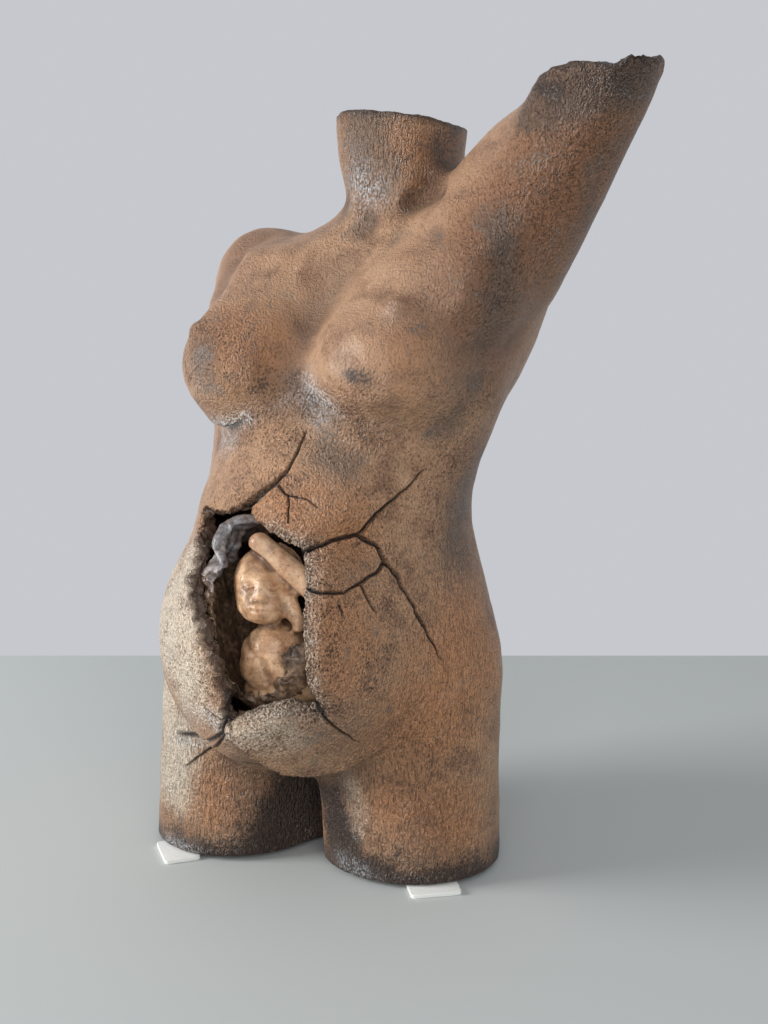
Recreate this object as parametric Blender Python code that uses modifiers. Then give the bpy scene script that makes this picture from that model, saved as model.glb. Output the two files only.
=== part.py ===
"""Hollow fired-clay torso of an expectant mother with one raised arm.

The belly is cracked into thick slabs round an opening, and a curled baby lies in a torn sac behind it.
The figure faces -Y, its left side is +X, and it stands on four thin pads at the origin.
"""

import math

import bmesh
import bpy
from mathutils import Euler, Matrix, Vector

# Driving dimensions, in metres
WALL = 0.009
JOINT_GAP = 0.0004
CRACK_GAP = 0.0006
LINING_GAP = 0.0006
SKIN_VOXEL = 0.005
SKIN_SMOOTHING = 60
OUTER_SHARE = 0.052
INNER_SHARE = 0.026
SECTION_SIDES = 40
BALL_SIDES = 26
BALL_RINGS = 16
LARGE = 0.5
CRUMB = 0.00002
SHARP_ANGLE = 40

# Trunk sections from hip to neck root: height, centre across, centre back, half width, half depth
TRUNK = (
    (0.082, 0.000, 0.008, 0.118, 0.074),
    (0.120, 0.000, 0.008, 0.132, 0.094),
    (0.165, 0.000, 0.006, 0.134, 0.098),
    (0.215, 0.001, 0.005, 0.120, 0.094),
    (0.260, 0.003, 0.006, 0.108, 0.088),
    (0.295, 0.006, 0.012, 0.107, 0.087),
    (0.330, 0.010, 0.022, 0.114, 0.088),
    (0.370, 0.014, 0.034, 0.121, 0.090),
    (0.405, 0.017, 0.042, 0.122, 0.084),
    (0.432, 0.020, 0.048, 0.116, 0.072),
    (0.455, 0.023, 0.053, 0.094, 0.056),
    (0.476, 0.026, 0.056, 0.060, 0.046),
)

# Rounded forms laid on the trunk: centre, radii, turn in degrees
FORMS = {
    "belly": ((0.004, -0.034, 0.178), (0.104, 0.126, 0.112), (0, 0, 0)),
    "upper_abdomen": ((0.005, -0.012, 0.262), (0.092, 0.092, 0.095), (0, 0, 0)),
    "right_breast": ((-0.036, -0.032, 0.372), (0.060, 0.066, 0.050), (0, 0, 0)),
    "left_breast": ((0.066, -0.022, 0.374), (0.060, 0.062, 0.052), (0, 0, 0)),
    "right_breast_slope": ((-0.032, -0.004, 0.412), (0.056, 0.042, 0.048), (0, 0, 0)),
    "left_breast_slope": ((0.084, 0.004, 0.415), (0.054, 0.044, 0.054), (0, 0, 0)),
    "right_shoulder": ((-0.081, 0.046, 0.428), (0.046, 0.050, 0.050), (0, 0, 0)),
    "right_chest_side": ((-0.072, 0.020, 0.395), (0.040, 0.056, 0.060), (0, 0, 0)),
    "right_buttock": ((-0.056, 0.042, 0.122), (0.068, 0.074, 0.078), (0, 0, 0)),
    "left_buttock": ((0.054, 0.046, 0.122), (0.066, 0.074, 0.078), (0, 0, 0)),
    "left_deltoid": ((0.114, 0.046, 0.460), (0.054, 0.056, 0.062), (0, 0, 0)),
    "left_chest_fold": ((0.114, 0.010, 0.422), (0.042, 0.038, 0.066), (0, 34, 0)),
    "left_back_fold": ((0.108, 0.064, 0.402), (0.035, 0.038, 0.084), (0, 20, 0)),
    "right_blade": ((-0.046, 0.088, 0.392), (0.048, 0.032, 0.062), (0, 8, 0)),
    "left_blade": ((0.086, 0.090, 0.400), (0.046, 0.032, 0.066), (0, 24, 0)),
}

# Tapered limbs, longer than the cut body: start, end, start radius, end radius, depth over width
LIMBS = {
    "right_thigh": ((-0.076, -0.018, -0.060), (-0.064, -0.002, 0.165), 0.062, 0.066, 1.15),
    "left_thigh": ((0.071, 0.010, -0.060), (0.062, 0.006, 0.165), 0.060, 0.065, 1.15),
    "neck": ((0.030, 0.058, 0.440), (0.031, 0.064, 0.620), 0.046, 0.054, 1.0),
    "raised_arm": ((0.109, 0.046, 0.450), (0.254, 0.046, 0.670), 0.058, 0.027, 1.0),
}

# Where the body ends: heights and places of the cuts, and the way that each cut faces
BASE_HEIGHT = -0.006
NECK_TOP = ((0.030, 0.062, 0.551), (-0.06, 0, 1), 0.070)
ARM_TOP = ((0.190, 0.046, 0.571), (-0.20, 0, 1), 0.100)

# Where the sections of the body are joined: a point, the way out of the chest, half width of the section
THIGH_JOINT = 0.060
RIB_JOINT = 0.334
NECK_JOINT = ((0.028, 0.060, 0.490), (0, 0, 1), 0.054)
ARM_JOINT = ((0.132, 0.046, 0.486), (0.146, 0, 0.220), 0.076)
SHOULDER_JOINT = ((-0.068, 0.046, 0.424), (-0.80, 0, 0.60), 0.090)

# The cracks are drawn on an upright board in front of the belly, which faces a little to the left side
BOARD_TURN = 10
BOARD_NEAR = 0.035
BOARD_FAR = 0.250

# Corners of the belly slabs on the board: across, height
CORNERS = {
    "opening_top_left": (-0.056, 0.272),
    "opening_top": (-0.028, 0.274),
    "upper_tip": (-0.016, 0.281),
    "upper_left": (0.007, 0.302),
    "upper_top_left": (0.016, 0.324),
    "upper_top": (0.055, 0.322),
    "upper_right": (0.092, 0.304),
    "upper_low_right": (0.072, 0.280),
    "shard_top": (0.058, 0.2615),
    "shard_top_left": (0.046, 0.259),
    "shard_left": (0.0275, 0.2525),
    "upper_low_left": (-0.003, 0.265),
    "shard_shoulder": (0.070, 0.2515),
    "shard_right": (0.0745, 0.242),
    "shard_low_right": (0.072, 0.236),
    "shard_low": (0.056, 0.227),
    "shard_low_left": (0.034, 0.2305),
    "side_upper_right": (0.0905, 0.214),
    "side_right": (0.109, 0.169),
    "side_low_right": (0.090, 0.135),
    "side_low": (0.063, 0.1155),
    "side_foot": (0.047, 0.148),
    "side_edge_low": (0.041, 0.165),
    "side_edge": (0.038, 0.200),
    "lower_crest": (0.029, 0.158),
    "lower_crest_left": (0.002, 0.149),
    "star": (-0.011, 0.139),
    "lower_left": (0.004, 0.114),
    "lower_foot": (0.024, 0.105),
    "lower_right": (0.048, 0.106),
    "opening_low_left": (-0.012, 0.164),
    "opening_left": (-0.027, 0.203),
    "opening_left_bulge": (-0.044, 0.226),
    "opening_upper_left": (-0.046, 0.243),
}

# Each slab: its corners in order, and how far it is lifted off the belly
SLABS = {
    "belly_upper_slab": (
        "upper_tip upper_left upper_top_left upper_top upper_right upper_low_right shard_top"
        " shard_top_left shard_left upper_low_left",
        0.004,
    ),
    "belly_middle_shard": (
        "shard_top shard_shoulder shard_right shard_low_right shard_low shard_low_left shard_left"
        " shard_top_left",
        0.002,
    ),
    "belly_side_slab": (
        "shard_low_left shard_low shard_low_right shard_right side_upper_right side_right"
        " side_low_right side_low side_foot side_edge_low side_edge",
        0.004,
    ),
    "belly_lower_slab": (
        "star lower_crest_left lower_crest side_foot side_low lower_right lower_foot lower_left",
        0.001,
    ),
}

# The window in the belly that the slabs and the opening fill together
WINDOW = (
    "opening_top_left opening_top upper_tip upper_left upper_top_left upper_top upper_right"
    " upper_low_right shard_top shard_shoulder shard_right side_upper_right side_right side_low_right"
    " side_low lower_right lower_foot lower_left star opening_low_left opening_left"
    " opening_left_bulge opening_upper_left"
)

# The sac round the baby, on the board: across, height, depth
SAC_CENTRE = (0.004, 0.200, 0.098)
SAC_RADII = (0.050, 0.072, 0.045)
SAC_WALL = 0.004
SAC_TEAR = (
    (-0.030, 0.244),
    (-0.009, 0.2535),
    (0.010, 0.268),
    (0.043, 0.250),
    (0.046, 0.196),
    (0.030, 0.194),
    (0.022, 0.176),
    (0.014, 0.158),
    (0.000, 0.152),
    (-0.013, 0.156),
    (-0.022, 0.183),
    (-0.034, 0.215),
)

# The baby's rounded forms, on the board: centre and radii across, up and out
BABY_VOXEL = 0.0025
BABY_SMOOTHING = 8
BABY_SHARE = 0.065
ARM_SHARE = 0.2
ARM_SEAT = 0.0008
BABY_HEAD = (
    ((-0.002, 0.228, 0.104), (0.024, 0.026, 0.027)),
    ((0.000, 0.214, 0.112), (0.021, 0.014, 0.020)),
)
BABY_TRUNK = (
    ((0.006, 0.178, 0.112), (0.024, 0.025, 0.026)),
    ((0.014, 0.152, 0.100), (0.028, 0.022, 0.030)),
    ((0.008, 0.172, 0.086), (0.030, 0.036, 0.028)),
    ((0.012, 0.138, 0.096), (0.026, 0.016, 0.026)),
)
BABY_NECK_PLANE = 0.2015
RAISED_ARM = ((-0.010, 0.256, 0.108), (0.047, 0.229, 0.111), 0.0090, 0.0085)
BENT_ARM = ((0.0245, 0.219, 0.117), (0.036, 0.199, 0.113), 0.0055, 0.0060)

# The pads under the thighs: half width, half depth, thickness, rounded corners, then each one's place and turn
PAD_HALF_WIDTH = 0.019
PAD_HALF_DEPTH = 0.014
PAD_THICKNESS = 0.003
PAD_CORNER = 0.003
PAD_CORNER_STEPS = 4
PADS = {
    "pad_right_front": (-0.092, -0.078, -40),
    "pad_left_front": (0.110, -0.032, 40),
    "pad_right_back": (-0.092, 0.040, 40),
    "pad_left_back": (0.086, 0.070, -35),
}

# Finishes: sRGB colour, roughness
CLAY = ("A5764F", 0.75)
PALE_CLAY = ("B08A63", 0.75)
SMOKED_CLAY = ("6E5642", 0.60)
SAC_CLAY = ("7A6A5C", 0.55)
BABY_CLAY = ("C09A72", 0.45)
FELT = ("EDEDEA", 0.95)


def linear(code):
    """The linear colour of an sRGB hex code."""
    shares = [int(code[place : place + 2], 16) / 255 for place in (0, 2, 4)]
    return [share / 12.92 if share <= 0.04045 else ((share + 0.055) / 1.055) ** 2.4 for share in shares]


def finish(obj, look):
    code, roughness = look
    material = bpy.data.materials.new(obj.name + "_finish")
    material.use_nodes = True
    shader = material.node_tree.nodes["Principled BSDF"]
    shader.inputs["Base Color"].default_value = (*linear(code), 1)
    shader.inputs["Roughness"].default_value = roughness
    shader.inputs["Metallic"].default_value = 0
    obj.data.materials.clear()
    obj.data.materials.append(material)


def solid_of(name, shape):
    """A new object that holds the finished shape."""
    mesh = bpy.data.meshes.new(name)
    shape.to_mesh(mesh)
    shape.free()
    made = bpy.data.objects.new(name, mesh)
    bpy.context.scene.collection.objects.link(made)
    return made


def settle(obj):
    """Makes the mesh that the modifiers give the object's own."""
    graph = bpy.context.evaluated_depsgraph_get()
    mesh = bpy.data.meshes.new_from_object(obj.evaluated_get(graph))
    obj.modifiers.clear()
    obj.data = mesh


def cut(obj, other, operation):
    change = obj.modifiers.new(other.name, "BOOLEAN")
    change.operation = operation
    change.object = other
    change.solver = "EXACT"
    settle(obj)


def piece_of(name, source, keep=(), lose=()):
    """A copy of a solid, cut down to what it shares with some solids and clear of others."""
    made = bpy.data.objects.new(name, source.data.copy())
    bpy.context.scene.collection.objects.link(made)
    for other in keep:
        cut(made, other, "INTERSECT")
    for other in lose:
        cut(made, other, "DIFFERENCE")
    return made


def placed(centre, radii, turn=(0, 0, 0)):
    """The matrix that puts a unit ball at a form's place."""
    angles = Euler([math.radians(angle) for angle in turn])
    return Matrix.LocRotScale(Vector(centre), angles, Vector(radii))


def block(name, point, facing, half_width, start=0.0, reach=LARGE):
    """A square bar that starts at a point's plane and runs the way it faces."""
    way = Vector(facing).normalized()
    middle = Vector(point) + way * (start + reach / 2)
    size = Vector((2 * half_width, 2 * half_width, reach))
    shape = bmesh.new()
    turn = way.to_track_quat("Z", "Y")
    bmesh.ops.create_cube(shape, size=1, matrix=Matrix.LocRotScale(middle, turn, size))
    return solid_of(name, shape)


def layer(name, low, high):
    """All that lies between two heights."""
    return block(name, (0, 0, low), (0, 0, 1), LARGE, 0, high - low)


def add_limb(shape, start, end, start_radius, end_radius, depth_ratio=1.0):
    start, end = Vector(start), Vector(end)
    along = end - start
    turn = along.to_track_quat("Z", "Y")
    stretch = Matrix.Diagonal((1, depth_ratio, 1, 1))
    bmesh.ops.create_cone(
        shape,
        cap_ends=True,
        segments=SECTION_SIDES,
        radius1=start_radius,
        radius2=end_radius,
        depth=along.length,
        matrix=Matrix.LocRotScale((start + end) / 2, turn, Vector((1, 1, 1))) @ stretch,
    )


def add_ball(shape, matrix):
    bmesh.ops.create_uvsphere(shape, u_segments=BALL_SIDES, v_segments=BALL_RINGS, radius=1, matrix=matrix)


def add_trunk(shape):
    loops = []
    for height, across, back, half_width, half_depth in TRUNK:
        matrix = placed((across, back, height), (half_width, half_depth, 1))
        made = bmesh.ops.create_circle(shape, segments=SECTION_SIDES, radius=1, matrix=matrix)
        loops.append(list({edge for vert in made["verts"] for edge in vert.link_edges}))
    for lower, upper in zip(loops, loops[1:]):
        bmesh.ops.bridge_loops(shape, edges=lower + upper)
    for end in (loops[0], loops[-1]):
        bmesh.ops.holes_fill(shape, edges=end, sides=0)


def add_sink(obj, depth):
    sink = obj.modifiers.new("sink", "DISPLACE")
    sink.mid_level = 0
    sink.strength = -depth


def modelled(name, shape, voxel, smoothing, share, sunk=0.0):
    """One skin over overlapping forms, thumbed over, sunk below it if asked, with a share of its faces."""
    bmesh.ops.recalc_face_normals(shape, faces=shape.faces)
    made = solid_of(name, shape)
    merge = made.modifiers.new("merge", "REMESH")
    merge.mode = "VOXEL"
    merge.voxel_size = voxel
    smooth = made.modifiers.new("thumbed_over", "SMOOTH")
    smooth.iterations = smoothing
    if sunk:
        add_sink(made, sunk)
        again = made.modifiers.new("merge_again", "REMESH")
        again.mode = "VOXEL"
        again.voxel_size = voxel
    fewer = made.modifiers.new("fewer", "DECIMATE")
    fewer.ratio = share
    settle(made)
    return made


def body_forms():
    shape = bmesh.new()
    add_trunk(shape)
    for form in FORMS.values():
        add_ball(shape, placed(*form))
    for limb in LIMBS.values():
        add_limb(shape, *limb)
    return shape


def outer_skin():
    skin = modelled("outer_skin", body_forms(), SKIN_VOXEL, SKIN_SMOOTHING, OUTER_SHARE)
    cut(skin, block("below_base", (0, 0, BASE_HEIGHT), (0, 0, -1), LARGE), "DIFFERENCE")
    cut(skin, block("above_neck", *NECK_TOP), "DIFFERENCE")
    cut(skin, block("above_arm", *ARM_TOP), "DIFFERENCE")
    return skin


def inner_skin():
    return modelled("inner_skin", body_forms(), SKIN_VOXEL, SKIN_SMOOTHING, INNER_SHARE, WALL)


def lining_of(inner):
    """The room inside the wall, clear of it by a joint."""
    lining = piece_of("lining", inner)
    add_sink(lining, LINING_GAP)
    settle(lining)
    return lining


def on_board(across, height, depth):
    """The point of the room that lies at a place on the belly's drawing board."""
    turn = math.radians(BOARD_TURN)
    right = Vector((math.cos(turn), math.sin(turn), 0))
    out = Vector((math.sin(turn), -math.cos(turn), 0))
    return right * across + out * depth + Vector((0, 0, height))


def board_ball(centre, radii):
    across, up, out = radii
    return placed(on_board(*centre), (across, out, up), (0, 0, BOARD_TURN))


def drawn_in(outline, gap):
    """An outline moved in by a gap on every side. It runs clockwise on the board."""
    points = [Vector(point) for point in outline]
    moved = []
    for index, point in enumerate(points):
        before = (point - points[index - 1]).normalized()
        after = (points[(index + 1) % len(points)] - point).normalized()
        inward = Vector((before.y, -before.x)) + Vector((after.y, -after.x))
        moved.append(point + inward * gap / (1 + before.dot(after)))
    return moved


def prism(name, outline):
    """A bar through the belly wall with an outline drawn on the board."""
    shape = bmesh.new()
    near = [shape.verts.new(on_board(across, height, BOARD_NEAR)) for across, height in outline]
    made = bmesh.ops.extrude_face_region(shape, geom=[shape.faces.new(near)])
    moved = [item for item in made["geom"] if isinstance(item, bmesh.types.BMVert)]
    bmesh.ops.translate(shape, verts=moved, vec=on_board(0, 0, BOARD_FAR - BOARD_NEAR))
    bmesh.ops.recalc_face_normals(shape, faces=shape.faces)
    bmesh.ops.triangulate(shape, faces=shape.faces)
    return solid_of(name, shape)


def corners(names):
    return [CORNERS[name] for name in names.split()]


def body_sections(shell):
    """The sections that the hollow body is built up from, with the joints between them."""
    half = JOINT_GAP / 2
    width = LARGE / 2
    hips = layer("hips", THIGH_JOINT + half, RIB_JOINT - half)
    chest = layer("chest", RIB_JOINT + half, RIB_JOINT + LARGE)
    right_leg = block("right_leg", (-width - half, 0, THIGH_JOINT), (0, 0, -1), width, half)
    left_leg = block("left_leg", (width + half, 0, THIGH_JOINT), (0, 0, -1), width, half)
    ends = {"neck_collar": NECK_JOINT, "raised_arm": ARM_JOINT, "shoulder_cap": SHOULDER_JOINT}
    taken = [block(name + "_cut", *joint, -half) for name, joint in ends.items()]
    made = {
        "right_thigh": piece_of("right_thigh", shell, (right_leg,)),
        "left_thigh": piece_of("left_thigh", shell, (left_leg,)),
        "hip_shell": piece_of("hip_shell", shell, (hips,), (prism("window", corners(WINDOW)),)),
        "chest_shell": piece_of("chest_shell", shell, (chest,), taken),
    }
    for name, joint in ends.items():
        made[name] = piece_of(name, shell, (block(name + "_keep", *joint, half),))
    return made


def belly_slabs(shell):
    made = {}
    for name, (names, lift) in SLABS.items():
        bar = prism(name + "_bar", drawn_in(corners(names), CRACK_GAP / 2))
        slab = piece_of(name, shell, (bar,))
        slab.data.transform(Matrix.Translation(on_board(0, 0, lift)))
        made[name] = slab
    return made


def ball(name, centre, radii, more):
    shape = bmesh.new()
    add_ball(shape, board_ball(centre, [radius + more for radius in radii]))
    return solid_of(name, shape)


def arm_lump(name, arm, more):
    start, end, start_radius, end_radius = arm
    shape = bmesh.new()
    add_limb(shape, on_board(*start), on_board(*end), start_radius + more, end_radius + more)
    for point, radius in ((start, start_radius + more), (end, end_radius + more)):
        add_ball(shape, board_ball(point, (radius, radius, radius)))
    return modelled(name, shape, BABY_VOXEL, BABY_SMOOTHING, ARM_SHARE)


def sac_and_baby(lining):
    """The torn sac against the inside of the belly wall, and the baby that lies in it."""
    outside = ball("sac_outside", SAC_CENTRE, SAC_RADII, 0)
    inside = ball("sac_inside", SAC_CENTRE, SAC_RADII, -SAC_WALL)
    room = ball("sac_room", SAC_CENTRE, SAC_RADII, -SAC_WALL - JOINT_GAP)
    tear = prism("sac_tear", SAC_TEAR)
    made = {"inner_sac": piece_of("inner_sac", outside, (lining,), (inside, tear))}
    arms = {"baby_raised_arm": RAISED_ARM, "baby_bent_arm": BENT_ARM}
    for name, arm in arms.items():
        made[name] = piece_of(name, arm_lump(name + "_lump", arm, 0), (room, lining))
    seats = [arm_lump(name + "_seat", arm, ARM_SEAT) for name, arm in arms.items()]
    half = JOINT_GAP / 2
    parts = {"baby_trunk": BABY_TRUNK, "baby_head": BABY_HEAD}
    levels = {
        "baby_trunk": layer("below_chin", BABY_NECK_PLANE - LARGE, BABY_NECK_PLANE - half),
        "baby_head": layer("above_chin", BABY_NECK_PLANE + half, BABY_NECK_PLANE + LARGE),
    }
    for name, forms in parts.items():
        shape = bmesh.new()
        for form in forms:
            add_ball(shape, board_ball(*form))
        lump = modelled(name + "_lump", shape, BABY_VOXEL, BABY_SMOOTHING, BABY_SHARE)
        made[name] = piece_of(name, lump, (room, lining, levels[name]), seats)
    return made


def pads():
    made = {}
    for name, (across, back, turn) in PADS.items():
        shape = bmesh.new()
        middle = (across, back, BASE_HEIGHT - JOINT_GAP - PAD_THICKNESS / 2)
        size = (2 * PAD_HALF_WIDTH, 2 * PAD_HALF_DEPTH, PAD_THICKNESS)
        bmesh.ops.create_cube(shape, size=1, matrix=placed(middle, size, (0, 0, turn)))
        upright = [
            edge for edge in shape.edges if abs(edge.verts[0].co.z - edge.verts[1].co.z) > PAD_THICKNESS / 2
        ]
        bmesh.ops.bevel(
            shape, geom=upright, offset=PAD_CORNER, segments=PAD_CORNER_STEPS, profile=0.5, affect="EDGES", material=-1
        )
        made[name] = solid_of(name, shape)
    return made


def tidy(obj):
    """Merges the crumbs of the cuts, and keeps the largest body."""
    shape = bmesh.new()
    shape.from_mesh(obj.data)
    bmesh.ops.remove_doubles(shape, verts=shape.verts, dist=CRUMB)
    bmesh.ops.dissolve_degenerate(shape, edges=shape.edges, dist=CRUMB)
    bmesh.ops.triangulate(shape, faces=shape.faces)
    bodies = []
    left = set(shape.verts)
    while left:
        body = set()
        edge_of_body = [left.pop()]
        while edge_of_body:
            vert = edge_of_body.pop()
            body.add(vert)
            near = {edge.other_vert(vert) for edge in vert.link_edges} & left
            left -= near
            edge_of_body.extend(near)
        bodies.append(body)
    largest = max(bodies, key=len)
    crumbs = [vert for body in bodies if body is not largest for vert in body]
    bmesh.ops.delete(shape, geom=crumbs, context="VERTS")
    shape.to_mesh(obj.data)
    shape.free()


def centred(pieces):
    """Moves the pieces so that the middle of the box round them stands on the origin."""
    points = [point.co for obj in pieces for point in obj.data.vertices]
    low = [min(point[axis] for point in points) for axis in range(3)]
    high = [max(point[axis] for point in points) for axis in range(3)]
    move = Vector((-(low[0] + high[0]) / 2, -(low[1] + high[1]) / 2, -low[2]))
    for obj in pieces:
        obj.data.transform(Matrix.Translation(move))
    return move


def look_of(name):
    if name.startswith("pad_"):
        return FELT
    if name.startswith("baby_"):
        return BABY_CLAY
    if name == "inner_sac":
        return SAC_CLAY
    if name in ("belly_lower_slab", "belly_middle_shard"):
        return PALE_CLAY
    return SMOKED_CLAY if name == "neck_collar" else CLAY


def main():
    for obj in list(bpy.data.objects):
        bpy.data.objects.remove(obj)
    outer = outer_skin()
    inner = inner_skin()
    shell = piece_of("shell", outer, (), (inner,))
    tidy(shell)
    made = body_sections(shell)
    made.update(belly_slabs(shell))
    made.update(sac_and_baby(lining_of(inner)))
    made.update(pads())
    for obj in list(bpy.data.objects):
        if obj not in made.values():
            bpy.data.objects.remove(obj)
    torso = bpy.data.collections.new("clay_torso")
    bpy.context.scene.collection.children.link(torso)
    for name, obj in made.items():
        tidy(obj)
        bpy.context.scene.collection.objects.unlink(obj)
        torso.objects.link(obj)
        finish(obj, look_of(name))
        obj.data.shade_smooth()
        obj.data.set_sharp_from_angle(angle=math.radians(SHARP_ANGLE))
    move = centred(made.values())
    print("moved by", [round(value, 5) for value in move])


if __name__ == "__main__":
    main()
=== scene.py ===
"""The looks of a hollow fired-clay torso: scraped skin, broken belly, torn sac, curled baby, felt pads."""

import math
from functools import partial

import bmesh
import bpy
import numpy as np
from mathutils import Matrix, Vector, noise


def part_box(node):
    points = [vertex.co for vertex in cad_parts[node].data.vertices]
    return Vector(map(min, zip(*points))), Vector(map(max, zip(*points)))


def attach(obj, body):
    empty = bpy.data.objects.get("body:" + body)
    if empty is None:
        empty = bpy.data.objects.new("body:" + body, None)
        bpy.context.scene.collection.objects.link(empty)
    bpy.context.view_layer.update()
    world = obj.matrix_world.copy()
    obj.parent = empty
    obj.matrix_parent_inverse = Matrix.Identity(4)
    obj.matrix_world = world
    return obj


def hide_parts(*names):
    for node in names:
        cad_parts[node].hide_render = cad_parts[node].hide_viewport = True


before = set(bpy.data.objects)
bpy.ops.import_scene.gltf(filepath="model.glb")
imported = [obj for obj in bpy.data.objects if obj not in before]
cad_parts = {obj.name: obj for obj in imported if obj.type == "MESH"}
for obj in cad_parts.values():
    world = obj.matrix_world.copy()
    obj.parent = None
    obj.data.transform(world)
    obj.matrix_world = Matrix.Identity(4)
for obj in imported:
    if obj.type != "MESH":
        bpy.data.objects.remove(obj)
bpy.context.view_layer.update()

# The wandering of torn edges and crumpled clay starts from this number, so that it is the same each time.
WANDER_SEED = 1
noise.seed_set(WANDER_SEED)

# Lengths are in metres. Places are measured from the figure's own middle. FIGURE moves them into the frame.
PAD_PLACE = (-0.092, -0.078)
FOOT_RISE = 0.0094
pad_low, pad_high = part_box("pad_right_front")
FIGURE = np.array((
    (pad_low.x + pad_high.x) / 2 - PAD_PLACE[0], (pad_low.y + pad_high.y) / 2 - PAD_PLACE[1], FOOT_RISE))
UP = np.array((0.0, 0.0, 1.0))
MERGE = 0.00001
# A gap that counts as out of reach.
FAR_AWAY = 1.0

# The clay body: its sections, how far their joints are closed, the net of its skin and where it is finer, how
# near an open edge a point counts as the rim, and the joints where the skin is divided.
BODY_SOLIDS = (
    "right_thigh", "left_thigh", "hip_shell", "chest_shell", "neck_collar", "raised_arm", "shoulder_cap")
SEAM = 0.0008
BODY_GRAIN = 0.0026
DETAIL_NET = 0.6 * BODY_GRAIN
DETAIL_REACH = 0.008
CRACK_NET = 0.3 * BODY_GRAIN
CRACK_REACH = 0.0035
BODY_SMOOTHING = 22
INNER_SHARE = 0.58
RIM_BAND = 0.0032
RIB_JOINT = 0.334
THIGH_JOINT = 0.060

# The broken front of the belly is laid out on an upright board, turned a little to the figure's left.
# Board places are across and up. Depth runs out of the board, towards the viewer.
BOARD_TURN = math.radians(10)
BOARD_RIGHT = np.array((math.cos(BOARD_TURN), math.sin(BOARD_TURN), 0.0))
BOARD_OUT = np.array((math.sin(BOARD_TURN), -math.cos(BOARD_TURN), 0.0))
FRONT_DEPTH = 0.045

OPENING = (
    (-0.056, 0.272), (-0.028, 0.274), (-0.016, 0.281), (-0.003, 0.265), (0.0275, 0.2525), (0.034, 0.2305),
    (0.038, 0.200), (0.041, 0.165), (0.047, 0.148), (0.029, 0.158), (0.002, 0.149), (-0.011, 0.139),
    (-0.012, 0.164), (-0.027, 0.203), (-0.044, 0.226), (-0.046, 0.243), (-0.056, 0.272),
)

# Each slab of the belly: how far its free edge stands out, how far back that fades, that edge, the outline.
# The free edges are stretches of the opening.
SLABS = {
    "belly_upper_slab": (
        0.0048, 0.060,
        (*OPENING[2:5], (0.058, 0.2615)),
        ((-0.016, 0.281), (0.007, 0.302), (0.016, 0.330), (0.060, 0.340), (0.098, 0.312), (0.072, 0.280),
         (0.058, 0.2615), (0.046, 0.259), (0.0275, 0.2525), (-0.003, 0.265)),
    ),
    "belly_middle_shard": (
        0.0032, 0.055,
        OPENING[4:6],
        ((0.0275, 0.2525), (0.046, 0.259), (0.058, 0.2615), (0.070, 0.2515), (0.0745, 0.242), (0.072, 0.236),
         (0.056, 0.227), (0.034, 0.2305)),
    ),
    "belly_side_slab": (
        0.0050, 0.062,
        OPENING[5:9],
        ((0.034, 0.2305), (0.056, 0.227), (0.072, 0.236), (0.0745, 0.242), (0.0905, 0.214), (0.109, 0.169),
         (0.090, 0.135), (0.063, 0.1155), (0.056, 0.132), (0.047, 0.148), (0.041, 0.165), (0.038, 0.200)),
    ),
    "belly_lower_slab": (
        0.0026, 0.045,
        OPENING[8:12],
        ((-0.011, 0.139), (0.002, 0.149), (0.029, 0.158), (0.047, 0.148), (0.056, 0.132), (0.063, 0.1155),
         (0.048, 0.100), (0.020, 0.098), (0.004, 0.114)),
    ),
}
# The slabs' solids are first set back by SLAB_LIFT. The free edges then stand out and are rolled in.
SLAB_LIFT = {
    "belly_upper_slab": 0.004,
    "belly_middle_shard": 0.002,
    "belly_side_slab": 0.004,
    "belly_lower_slab": 0.001,
}
SLAB_FADE = 1.6
SLAB_ROLL = 0.0068
SLAB_ROUND = 0.0085

# Cracks on the board: the line, half its width at each end, its depth.
CRACKS = {
    "upper_left": (
        ((-0.016, 0.281), (-0.008, 0.2875), (0.007, 0.302), (0.0125, 0.316), (0.016, 0.331)),
        0.0032, 0.0007, 0.0055),
    "upper_right": (
        ((0.0275, 0.2525), (0.046, 0.2592), (0.058, 0.2615), (0.072, 0.280), (0.083, 0.290), (0.093, 0.304)),
        0.0020, 0.0006, 0.0050),
    "side": (
        ((0.058, 0.2615), (0.070, 0.2515), (0.0745, 0.242), (0.0815, 0.232), (0.0905, 0.214),
         (0.109, 0.169)),
        0.0015, 0.0005, 0.0045),
    "shard_foot": (
        ((0.0745, 0.242), (0.072, 0.236), (0.059, 0.2272), (0.047, 0.2285), (0.034, 0.2305)),
        0.0015, 0.0010, 0.0045),
    "foot": (((0.041, 0.165), (0.047, 0.148), (0.056, 0.132), (0.063, 0.1155)), 0.0026, 0.0006, 0.0055),
    "hair_above": (((0.004, 0.2945), (0.0125, 0.2885), (0.0155, 0.2705)), 0.0010, 0.0008, 0.0026),
    "hair_beside": (((0.0125, 0.2885), (0.026, 0.2855), (0.034, 0.2805)), 0.0009, 0.0005, 0.0020),
    "hair_below": (((0.0655, 0.2315), (0.0705, 0.2215), (0.0765, 0.2105)), 0.0011, 0.0005, 0.0024),
    "hair_short": (((0.0575, 0.2195), (0.0605, 0.2125)), 0.0009, 0.0005, 0.0018),
    "star_out": (
        ((-0.0127, 0.139), (-0.020, 0.127), (-0.050, 0.106), (-0.080, 0.0915), (-0.104, 0.088)),
        0.0024, 0.0030, 0.0034),
    "star_down": (
        ((-0.0127, 0.139), (-0.019, 0.125), (-0.045, 0.100), (-0.076, 0.079), (-0.096, 0.063)),
        0.0020, 0.0010, 0.0030),
    "star_side": (((-0.0127, 0.139), (-0.018, 0.1405), (-0.030, 0.147)), 0.0016, 0.0006, 0.0030),
    "star_up": (((-0.0127, 0.139), (-0.0125, 0.152), (-0.012, 0.164)), 0.0020, 0.0018, 0.0040),
}

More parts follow.
